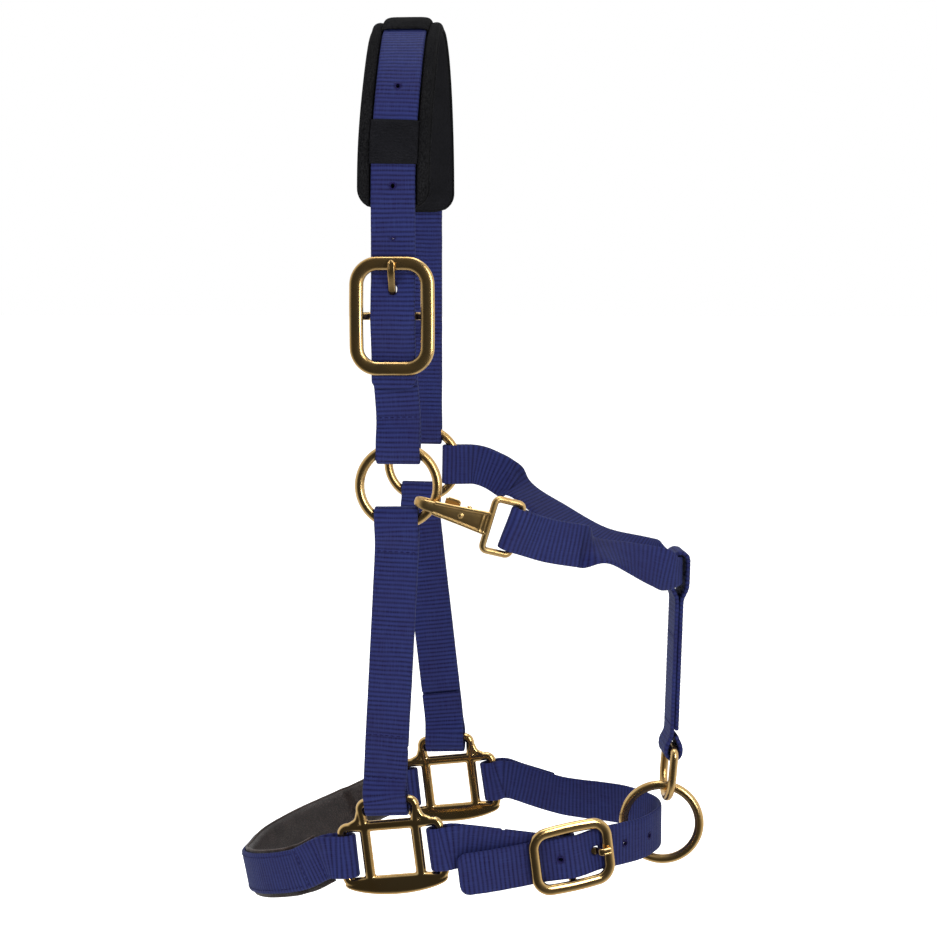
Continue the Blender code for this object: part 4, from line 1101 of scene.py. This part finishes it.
def crown_pad(rail):
    """A soft lining below, a cover with padded flanges beside the strap, piping and stitching."""
    stations = pad_stations(rail, 190)
    first, last = stations[0], stations[-1]
    floor = LAYER - WEB_THICK / 2 - GAP
    under = floor - 1.6 * MM
    channel = WEB_WIDTH / 2 + 0.9 * MM

    def half_at(s):
        return pad_half(max(min(s - first, last - s), 0.0), 11 * MM)

    def cover(s):
        a = half_at(s)
        left = max(min(s - first, last - s), 0.0)
        rise = 3.2 * MM * smooth(left / (6 * MM))
        c = min(channel, a - 0.8 * MM)
        outline = [(-a + 2 * a * k / 20, under) for k in range(21)]
        outline.append((a + 0.25 * MM, (under + floor) / 2))

        def flange(side):
            points = []
            for k in range(15):
                angle = math.pi * k / 14
                across = side * (a + c) / 2 + (a - c) / 2 * math.cos(angle)
                points.append((across, floor + rise * math.sin(angle) ** 0.7))
            return points

        outline += flange(1)
        outline += [(c - 2 * c * k / 20, floor) for k in range(1, 20)]
        outline += flange(-1)
        outline.append((-a - 0.25 * MM, (under + floor) / 2))
        return outline

    def lining(s):
        left = max(min(s - first, last - s), 0.0)
        a = half_at(s) - 0.3 * MM
        thick = 0.8 * MM + (FOAM_THICK - 0.8 * MM) * smooth(left / (9 * MM)) ** 0.5
        ceiling = under - 0.1 * MM
        outline = [(a - 2 * a * k / 24, ceiling) for k in range(25)]
        for k in range(1, 32):
            angle = math.pi * k / 32
            c, d = math.cos(angle), math.sin(angle)
            across = -math.copysign(abs(c) ** 0.45, c) * a
            outline.append((across, ceiling - thick * abs(d) ** 0.5))
        return outline

    loft("crown_pad_cover", rail, stations, cover, COVER, "black_cover", 0.3 * MM, 3.0)
    cushion = loft("crown_pad_foam", rail, stations, lining, LINING, "pad_foam", 0.3 * MM, 3.0)

    edge = []
    normals = []
    for side, order in ((1, stations), (-1, stations[::-1])):
        for s in order:
            point, t, w = rail.frame_at(s)
            out = w.cross(t)
            edge.append(point + w * (side * (half_at(s) + 0.15 * MM)) + out * under)
            normals.append(out)
    verts, faces = tube(edge, Z, even(0.85 * MM, 0.95 * MM), True, 10, normals=normals)
    piece("crown_pad_piping", verts, faces, COVER, body="crown", slot="black_cover")

    places = []
    for side in (-1, 1):
        s = first + 9 * MM
        while s < last - 9 * MM:
            point, t, w = rail.frame_at(s)
            out = w.cross(t)
            places.append((point + w * (side * (channel + 0.6 * MM)) + out * (floor + 1.7 * MM), t, out))
            s += 3.1 * MM
    stitches("crown_pad_stitches", "crown", places, BLACK_THREAD, "black_cover", 0.3 * MM, 0.85 * MM)


def keepers(rail):
    """The three bands that hold the strap on the pad."""
    top = rail.nearest(crown_place(CROWN_MIDDLE, CROWN_TOP))
    near = rail.nearest(crown_place(CROWN_MIDDLE - CROWN_HALF, KEEPER_Z))
    sizes = {
        "near_keeper": (near, KEEPER_LENGTH, 0.0, 0.11 * MM),
        "poll_keeper": (top, POLL_KEEPER_LENGTH, 1.2 * MM, 0.03 * MM),
        "far_keeper": (2 * top - near, KEEPER_LENGTH, 0.0, 0.11 * MM),
    }
    for name, (middle, length, proud, ribs) in sizes.items():
        count = round(length / (0.32 * MM))
        along = [middle + length * (k / count - 0.5) for k in range(count + 1)]

        def arch(s, middle=middle, length=length, proud=proud, ribs=ribs):
            end = max(length / 2 - abs(s - middle), 0.0)
            a = WEB_WIDTH / 2 + 0.75 * MM
            inner = LAYER + WEB_THICK / 2 + 0.3 * MM + proud * smooth(end / (9 * MM))
            foot = LAYER - WEB_THICK / 2 - GAP + 0.3 * MM
            hem = 1 - 0.55 * (1 - smooth(end / (1.2 * MM)))
            thick = (1.15 * MM + ribs * math.sin(2 * math.pi * s / (1.5 * MM))) * hem
            crown = 0.9 * MM * smooth(proud / MM)
            outside, inside = [], []
            for k in range(25):
                angle = math.pi * k / 24
                c, d = math.cos(angle), math.sin(angle)
                reach = math.copysign(abs(c) ** 0.32, c)
                rise = abs(d) ** 0.36
                lift = crown * math.sin(angle)
                outside.append(((a + 0.5 * MM) * reach, foot + (inner + thick - foot) * rise + lift))
                inside.append(((a - 0.15 * MM) * reach, foot + (inner - foot) * rise + lift))
            return outside + inside[::-1]

        loft(name, rail, along, arch, ELASTIC if ribs > 0.05 * MM else COVER, "black_elastic")


# ---------------------------------------------------------------- cheeks and noseband


def cheek_strap(name, ring_place, centre, outwards, seed):
    """A doubled strap from a cheek ring down to the top bar of its square."""
    top = ring_place - Z * RING_RADIUS - X * (1.1 * MM)
    foot = bar_place(centre, "top")
    right, up = square_axes()
    right, up = right.lerp(X, 0.6).normalized(), up.lerp(Z, 0.6).normalized()
    across = CROSS * outwards
    below, above = top - Z * (14 * MM), foot + up * (14 * MM)
    points = [top, below, below.lerp(above, 0.5), above, foot]
    rail = Rail(points, [across, across, across, right * outwards, right * outwards])
    end = rail.length
    join = end * 0.8
    flat = run(join, RING_EYE_LENGTH, -LAYER)[:-1]
    flat += ring_eye(0, -1, -1, 5.3 * MM)
    flat += run(RING_EYE_LENGTH, end - BAR_EYE_LENGTH, LAYER)[1:]
    flat += bar_eye(end, 1, 1, 5.1 * MM)
    flat += run(end - BAR_EYE_LENGTH, join + 1 * MM, -LAYER)[1:]
    web = Web(name, rail, flat, seed=seed)
    rows = [(15.5 * MM, 1), (end - 14.5 * MM, 1), (end - 40 * MM, 1)]
    rows += [(join - 3 * MM, -1), (join + 4 * MM, -1)]
    web.sew(rows)


NOSE_LAP = 34 * MM
NOSE_PAD_START = 14 * MM


def nose_rail():
    near = bar_place(NEAR_SQUARE, "left")
    far = bar_place(FAR_SQUARE, "left")
    right, up = square_axes()
    lean = Vector((-0.2, 0, 1)).normalized()
    side = in_mm((-63, -66, -495.5), (-88, -48, -504.5), (-104, -24, -510.5))
    points = [near, near - right * (12 * MM), *side, Vector((-107.5, 0, -513)) * MM]
    points += [Vector((p.x, -p.y, p.z)) for p in side[::-1]] + [far - right * (12 * MM), far]
    return Rail(points, [up, up] + [lean] * 7 + [up, up])


def noseband():
    rail = nose_rail()
    end = rail.length
    flat = run(NOSE_LAP, BAR_EYE_LENGTH, -LAYER)[:-1]
    flat += bar_eye(0, -1, -1)
    flat += run(BAR_EYE_LENGTH, end - BAR_EYE_LENGTH, LAYER)[1:]
    flat += bar_eye(end, 1, 1)
    flat += run(end - BAR_EYE_LENGTH, end - NOSE_LAP, -LAYER)[1:]
    web = Web("nose_strap", rail, flat, seed=5.0)
    rows = [(s, 1) for s in (15 * MM, 30 * MM, end - 15 * MM, end - 30 * MM)]
    edges = [web.row_along(36 * MM, end - 36 * MM, 1, v) for v in (-10.2 * MM, 10.2 * MM)]
    web.sew(rows, edges[0] + edges[1])


def nose_pad():
    """The lining behind the noseband, piped along both edges."""
    rail = nose_rail()
    end = rail.length
    first, last = NOSE_PAD_START, end - NOSE_PAD_START

    def pad(s):
        near_end = min(s - first, last - s)
        over_lap = 1 - smooth((min(s, end - s) - NOSE_LAP - 2 * MM) / (7 * MM))
        slope = 1 - smooth((min(s, end - s) - 13.5 * MM) / (5 * MM))
        face = LAYER - WEB_THICK / 2 - 1.2 * GAP - (WEB_THICK + GAP) * over_lap - 1.6 * MM * slope
        thick = (2.2 + 3.0 * smooth(near_end / (9 * MM))) * MM
        low, high = -15.0 * MM, 13.4 * MM
        low += 1.2 * MM * (1 - smooth(near_end / (4 * MM)))
        high -= 1.2 * MM * (1 - smooth(near_end / (4 * MM)))
        outline = [(low + (high - low) * k / 26, face) for k in range(27)]
        for k in range(1, 44):
            angle = math.pi * k / 44
            c, d = math.cos(angle), math.sin(angle)
            across = (low + high) / 2 + (high - low) / 2 * math.copysign(abs(c) ** 0.4, c)
            outline.append((across, face - thick * abs(d) ** 0.55))
        return outline[::-1]

    count = round((last - first) / (0.9 * MM))
    stations = [first + (last - first) * k / count for k in range(count + 1)]
    cushion = loft("nose_pad", rail, stations, pad, NOSE_LEATHER, "nose_lining", 0.2 * MM)
    for side, edge_v in (("lower", -15.1 * MM), ("upper", 13.5 * MM)):
        path, normals = [], []
        for s in stations[2:-2]:
            face = pad(s)[-1][1]
            point, t, w = rail.frame_at(s)
            out = w.cross(t)
            path.append(point + w * edge_v + out * (face - 0.7 * MM))
            normals.append(out)
        verts, faces = tube(path, Z, even(0.75 * MM, 0.8 * MM), False, 10, normals=normals)
        piece(f"nose_pad_{side}_piping", verts, faces, PIPING, body="noseband", slot="nose_lining")


# ---------------------------------------------------------------- chin


def chin_strap():
    b = CHIN_BUCKLE
    far = bar_place(FAR_SQUARE, "right")
    right, up = square_axes()
    points = in_mm((36, -82.4, -490), (57, -77.4, -487.4))
    points += [b.point(u * MM, 0, -BILLET_BEHIND) for u in (-22, 0, 22)]
    points += in_mm((138, -31, -478.8), (146.5, -14, -478.2), (148.8, 2, -478))
    points += in_mm((143, 22, -478.2), (122, 45, -478.6), (82, 64, -479.5))
    points += [far + right * (10 * MM), far]
    tilt = -b.w if b.w.z > 0 else b.w
    rail = Rail(points, [tilt] * 5 + [-Z] * 6 + [-up, -up])
    heel_s = rail.nearest(b.point(0, 0, -BILLET_BEHIND))
    end = rail.length
    flat = run(0, heel_s + 30 * MM, 0, bump=b.billet_bump(heel_s))
    flat += run(heel_s + 30 * MM, end - 45 * MM, 0)[1:]
    flat += run(end - 45 * MM, end - BAR_EYE_LENGTH, (0, -LAYER))[1:]
    flat += bar_eye(end, 1, -1)
    flat += run(end - BAR_EYE_LENGTH, end - 40 * MM, (LAYER, WEB_THICK + 2 * GAP))[1:]
    web = Web("chin_strap", rail, flat, starts=6 * MM, seed=6.0)

    def at(k):
        place = heel_s + TONGUE_HOLE + k * CHIN_HOLE_PITCH
        return min(range(len(web.flat)), key=lambda i: abs(web.flat[i][0] - place))

    spots = [(at(k), HOLE_RADIUS, HOLE_RADIUS * 0.85) for k in (-1, 1, 2)]
    web.cut([(at(0), TONGUE_SLOT, TONGUE_SLOT_HALF), *spots])
    web.rims(spots)
    web.sew(((end - 15 * MM, 1), (end - 36 * MM, 1)))


def chin_buckle_strap():
    """The short doubled strap between the near square and the chin buckle's heel bar."""
    b = CHIN_BUCKLE
    start = bar_place(NEAR_SQUARE, "right")
    right, up = square_axes()
    inside = -KEEPER_STACK
    heel = b.point(0, 0, inside)
    knee = b.point(-24 * MM, 0, inside) + Z * (4.6 * MM)
    points = [start, start + right * (13 * MM), knee, heel - b.u * (9 * MM), heel]
    tilt = -b.w if b.w.z > 0 else b.w
    rail = Rail(points, [-up, -up, (-Z + tilt).normalized(), tilt, tilt])
    end = rail.length
    join = end * 0.45
    flat = run(join, BAR_EYE_LENGTH, -LAYER)[:-1]
    flat += bar_eye(0, -1, -1)
    flat += run(BAR_EYE_LENGTH, end - 11 * MM, LAYER)[1:]
    flat += heel_fold(end, 1, 1, KEEPER_STACK - HEEL_DEPTH)
    flat += run(end - 11 * MM, join + 1 * MM, -LAYER)[1:]
    web = Web("chin_buckle_strap", rail, flat, seed=7.0)
    b.clear_slot(web)
    web.sew(((15 * MM, 1), (end - 17 * MM, 1)))


# ---------------------------------------------------------------- throat

SNAP_HOOK = NEAR_RING + Vector((19.75, 0, -11.0)) * MM
SNAP_ALONG = Vector((0.948, 0.13, -0.285)).normalized()
SNAP_OUT = (-Y - SNAP_ALONG * SNAP_ALONG.dot(-Y)).normalized()
SNAP_UP = SNAP_OUT.cross(SNAP_ALONG)
SNAP_EYE = 50.5 * MM


def snap_point(s, up, h):
    return SNAP_HOOK + SNAP_ALONG * s + SNAP_UP * up + SNAP_OUT * h


def throat_rail():
    away = (CROSS - Z * 0.022).normalized()
    start = FAR_RING + away * RING_RADIUS
    points = [start, start + away * (13 * MM)]
    points += in_mm((37, 74.5, -268.5), (45, 73.2, -273.2), (54, 70.5, -279.3))
    points += in_mm((75, 61, -292), (106, 44.5, -306.5), (133, 30, -314.5))
    bight = in_mm((-11.4, 18.6, 0.8), (-3.2, 11.6, 0), (0, 0, 0), (1.6, -11.9, 0), (-3.2, -21.6, 0.8))
    points += [THROAT_TURN + step for step in bight]
    points += in_mm((146, -28, -314), (131, -34, -308.5), (114, -42.5, -302.5))
    points += [*in_mm((104, -48, -300), (85, -59, -295.5)), snap_point(SNAP_EYE, 0, 0)]
    far_lean = Vector((0.1, 0.9, 0.42)).normalized()
    widths = [Z, Z, Z, Vector((0.1, 0.15, 1)), far_lean, far_lean, far_lean, Vector((0.1, 0.6, 0.75))]
    widths += [Z] * 5
    widths += [Vector((0, 0.45, 0.88)), Vector((-0.2, 0.73, 0.65)), Vector((-0.34, 0.8, 0.46))]
    widths += [Vector((0.1, 0.1, 1)), Vector((0.15, 0, 1)), SNAP_UP]
    return Rail(points, [w.normalized() for w in widths])


def throat_strap():
    rail = throat_rail()
    end = rail.length
    flat = run(42 * MM, RING_EYE_LENGTH, -LAYER)[:-1]
    flat += ring_eye(0, -1, -1)
    flat += run(RING_EYE_LENGTH, 52 * MM, (LAYER, 0))[1:]
    flat += run(52 * MM, end - 62 * MM, 0)[1:]
    flat += run(end - 62 * MM, end - 46 * MM, (0, -LAYER))[1:]
    flat += run(end - 46 * MM, end - 14 * MM, -LAYER)[1:]
    flat += eye(end, 1, 4.3 * MM, 2.0 * MM, 2.0 * MM, into=-1)
    flat += run(end - 14 * MM, end - 42 * MM, LAYER)[1:]
    turn = rail.nearest(THROAT_TURN)

    def width(s):
        gathered = 1 - smooth((abs(s - turn) - 14 * MM) / (16 * MM))
        return WEB_WIDTH + (TURN_WIDTH - WEB_WIDTH) * gathered

    web = Web("throat_strap", rail, flat, width, seed=8.0)
    web.sew(((15 * MM, 1), (38 * MM, -1), (end - 15 * MM, 1), (end - 38 * MM, 1)))


def connector_strap():
    top = THROAT_TURN + Vector((-0.4, 0, 3.9)) * MM
    points = [top, top.lerp(LINK_TOP, 0.3), top.lerp(LINK_TOP, 0.65), LINK_TOP]
    rail = Rail(points, [CONNECTOR_ACROSS] * 4)
    end = rail.length
    join = end * 0.9
    flat = run(join - 1 * MM, 24 * MM, -LAYER)[:-1]
    flat += eye(0, -1, 4.6 * MM, 2.6 * MM, 13.2 * MM, 9 * MM)
    flat += run(24 * MM, end - 13 * MM, LAYER)[1:]
    flat += eye(end, 1, LINK_WIRE + GAP + WEB_THICK / 2 + 0.4 * MM, 1.2 * MM, 1.5 * MM, 8 * MM, into=1)
    web = Web("connector_strap", rail, flat, seed=9.0)
    web.sew([(s, side) for s in (44 * MM, end - 16 * MM) for side in (1, -1)])


# ---------------------------------------------------------------- snap

HOOK_REACH = 6.1 * MM
SNAP_FACE = HOOK_REACH + 1.1 * MM
HOOK_HALF = 1.6 * MM
LEVER_PIVOT = (21.0 * MM, -1.2 * MM)


def snap_body():
    """A wedge-shaped cast hook with raised rims, ridges and a rectangular eye for the strap."""
    stations = ((33.5, 6.4), (26, 5.7), (19, 5.0), (12, 4.4), (6, 3.9), (1, 3.5))
    path = [snap_point(s * MM, 0, HOOK_REACH) for s, _ in stations]
    halves = [half for _, half in stations]
    bend = -3.0 * MM
    for k in range(17):
        angle = math.pi * k / 16
        path.append(snap_point(bend - HOOK_REACH * math.sin(angle), 0, HOOK_REACH * math.cos(angle)))
        halves.append(3.3 - 0.7 * min(1.0, k / 8))
    path.append(snap_point(0.2 * MM, 0, -HOOK_REACH))
    halves.append(2.2)

    def hook_half(i):
        return HOOK_HALF, halves[i] * MM

    shells = [tube(path, SNAP_UP, hook_half, False, 24, 2.6)]
    for side in (-1, 1):
        rim = []
        for s, half in stations:
            rim.append(snap_point(s * MM, side * (half - 0.35) * MM, SNAP_FACE + 0.05 * MM))
        shells.append(tube(catmull(rim, 5), SNAP_UP, even(1.05 * MM, 1.0 * MM), False, 14))
    for s in (29.5, 32.0, 34.5):
        half = 5.6 * MM
        ridge = [snap_point(s * MM, -half, SNAP_FACE), snap_point(s * MM, half, SNAP_FACE)]
        shells.append(tube(ridge, SNAP_OUT, even(0.8 * MM), False, 12))
    boss = snap_point(17 * MM, 0, SNAP_FACE + 0.4 * MM)
    shells.append(ball(boss, 1.5 * MM, 10, 16, SNAP_OUT * (0.9 * MM)))
    near_bar, far_bar, tall = 34.0 * MM, SNAP_EYE, 15.4 * MM
    corners = []
    for s, up in ((near_bar, -tall), (far_bar, -tall), (far_bar, tall), (near_bar, tall)):
        share = (s - near_bar) / (far_bar - near_bar)
        corners.append(snap_point(s, up, HOOK_REACH * (1 - share)))
    normal = (corners[1] - corners[0]).cross(corners[3] - corners[0]).normalized()
    shells.append(tube(round_corners(corners, 3.0 * MM, True, 6), normal, even(SNAP_EYE_BAR), True, 20))
    for low, high in ((2.6, 4.4), (-4.4, -2.6)):
        middle = (low + high) / 2 * MM
        lug = [snap_point(s * MM, middle, 1.2 * MM) for s in (17.3, 21.2, 25.2)]
        shells.append(tube(lug, SNAP_OUT, even(0.9 * MM, 4.2 * MM), False, 16, 4.0))
    return cast("snap_body", shells, 0.3 * MM, 5, DULL_BRASS)


def snap_lever():
    """The sprung gate, with a thumb tab on its upper side."""
    s0, h0 = LEVER_PIVOT
    heel = ((s0 + 2.2 * MM, h0 + 0.2 * MM), (s0, h0), (s0 - 5 * MM, h0 - 2.6 * MM))
    path = [snap_point(s, 0, h) for s, h in heel]
    path += [snap_point(s * MM, 0, h * MM) for s, h in ((10, -5.4), (4.6, -5.9))]
    thumb = ((6.5, -4.9), (9, -4.7), (13, -4.1), (15.5, -3.4))
    tab = [snap_point(s * MM, 4.4 * MM, h * MM) for s, h in thumb]

    def gate_half(i):
        return (1.7 if i < 6 else 0.8) * MM, 2.1 * MM

    def tab_half(i):
        return 0.85 * MM, (2.6 if 2 < i < 11 else 1.9) * MM

    shells = [tube(catmull(path, 4), SNAP_UP, gate_half, False, 16, 2.6)]
    shells.append(tube(catmull(tab, 4), SNAP_UP, tab_half, False, 16, 2.6))
    return cast("snap_lever", shells, 0.28 * MM, 2, DULL_BRASS)


def snap_small_parts():
    s, h = LEVER_PIVOT
    shells = []
    for side in (-1, 1):
        shells.append(ball(snap_point(s, side * 5.0 * MM, h), 1.5 * MM, 10, 20, SNAP_UP * (0.75 * MM)))
    pin = [snap_point(s, side * 5 * MM, h) for side in (-1, 1)]
    shells.append(tube(pin, SNAP_OUT, even(0.75 * MM)))
    verts, faces = join_shells(shells)
    piece("snap_rivet", verts, faces, BRASS, "snap_rivet", slot="solid_brass")
    leaf = ((31, 3.4), (27, 2.6), (22, 2.2), (17.5, 1.2), (14, -1.0))
    points = [snap_point(s * MM, 0, h * MM) for s, h in leaf]
    verts, faces = tube(catmull(points, 6), SNAP_UP, even(0.28 * MM, 1.6 * MM), False, 16, 4.0)
    piece("snap_spring", verts, faces, STEEL, "snap_spring", slot="spring_steel")


# ---------------------------------------------------------------- the halter

ring("near_cheek_ring", NEAR_RING, RING_AXIS, RING_RADIUS)
ring("far_cheek_ring", FAR_RING, RING_AXIS, RING_RADIUS)
ring("lead_ring", LEAD_RING, Y, LEAD_RING_RADIUS)
crown_line = crown_rail()
crown_strap(crown_line)
crown_pad(crown_line)
keepers(crown_line)
crown_buckle_strap()
CROWN_BUCKLE.frame()
CROWN_BUCKLE.tongue()
cheek_strap("near_cheek_strap", NEAR_RING, NEAR_SQUARE, -1, 3.0)
cheek_strap("far_cheek_strap", FAR_RING, FAR_SQUARE, 1, 4.0)
square("near_square", NEAR_SQUARE)
square("far_square", FAR_SQUARE)
noseband()
nose_pad()
chin_buckle_strap()
CHIN_BUCKLE.frame()
CHIN_BUCKLE.tongue()
chin_strap()
throat_strap()
connector_strap()
connector_link()
snap_body()
snap_lever()
snap_small_parts()


# ---------------------------------------------------------------- studio

CAMERA_LENS = 73.2
CAMERA_PLACE = (0.1942, -1.1527, -0.1507)
CAMERA_TURN = (84.65, 0.0, 8.1)
FLOOR_REACH = 30.0
FLOOR_DROP = 0.06


def studio():
    """A pale floor, bright surroundings behind and beside the halter, and a dark room in front of it."""
    s = Shader("studio", world=True)
    split = s.add("SeparateXYZ", _0=s.add("TexCoord").outputs["Generated"])
    ends = {"From_Min": -0.8, "From_Max": 0.0, "To_Min": 0.045, "To_Max": 1.0}
    depth = s.add("MapRange", {"interpolation_type": "SMOOTHSTEP"}, Value=split.outputs[1], **ends)
    room = s.add("Background", Strength=depth.outputs["Result"]).outputs[0]
    seen = s.add("Background", Color=(1, 1, 1, 1), Strength=1.0).outputs[0]
    ray = s.add("LightPath").outputs["Is Camera Ray"]
    s.put(s.out.inputs[0], s.add("MixShader", _0=ray, _1=room, _2=seen).outputs[0])
    bpy.context.scene.world = s.owner

    floor_mesh = bpy.data.meshes.new("floor")
    level = cad_low.z - FLOOR_DROP
    corners = [(x * FLOOR_REACH, y * FLOOR_REACH, level) for x, y in ((-1, -1), (1, -1), (1, 1), (-1, 1))]
    floor_mesh.from_pydata(corners, [], [(0, 1, 2, 3)])
    floor = bpy.data.objects.new("floor", floor_mesh)
    s = Shader("pale_floor")
    pale = s.mix(s.noise(3.0, 2.0), (0.90, 0.90, 0.89, 1), (0.93, 0.93, 0.92, 1))
    glow = {"Emission_Color": pale, "Emission_Strength": 0.8}
    floor_mesh.materials.append(s.finish(Base_Color=pale, Roughness=0.9, Specular_IOR_Level=0.1, **glow))
    bpy.context.scene.collection.objects.link(floor)
    floor.visible_glossy = False

    lamps = (
        ("key", (-0.75, -1.25, 0.55), 0.8, 0.9, 20.0),
        ("side", (0.95, -0.95, 0.1), 0.35, 0.9, 9.0),
        ("top", (0.1, 0.05, 1.1), 0.9, 0.9, 10.0),
        ("low", (-0.3, -1.2, -0.75), 0.8, 0.25, 1.6),
    )
    aim = Vector((0.02, 0.0, -0.26))
    for name, place, width, height, power in lamps:
        light = bpy.data.lights.new(name, "AREA")
        light.shape = "RECTANGLE"
        light.size, light.size_y = width, height
        light.energy = power
        lamp = bpy.data.objects.new(name, light)
        lamp.location = place
        lamp.rotation_mode = "QUATERNION"
        lamp.rotation_quaternion = (aim - Vector(place)).to_track_quat("-Z", "Y")
        lamp.visible_glossy = name not in ("key", "low")
        bpy.context.scene.collection.objects.link(lamp)


studio()

camera_data = bpy.data.cameras.new("camera")
camera_data.lens = CAMERA_LENS
camera_data.sensor_width = 36.0
camera = bpy.data.objects.new("camera", camera_data)
camera.location = CAMERA_PLACE
camera.rotation_euler = [math.radians(angle) for angle in CAMERA_TURN]
bpy.context.scene.collection.objects.link(camera)
bpy.context.scene.camera = camera
bpy.context.scene.view_settings.view_transform = "Standard"
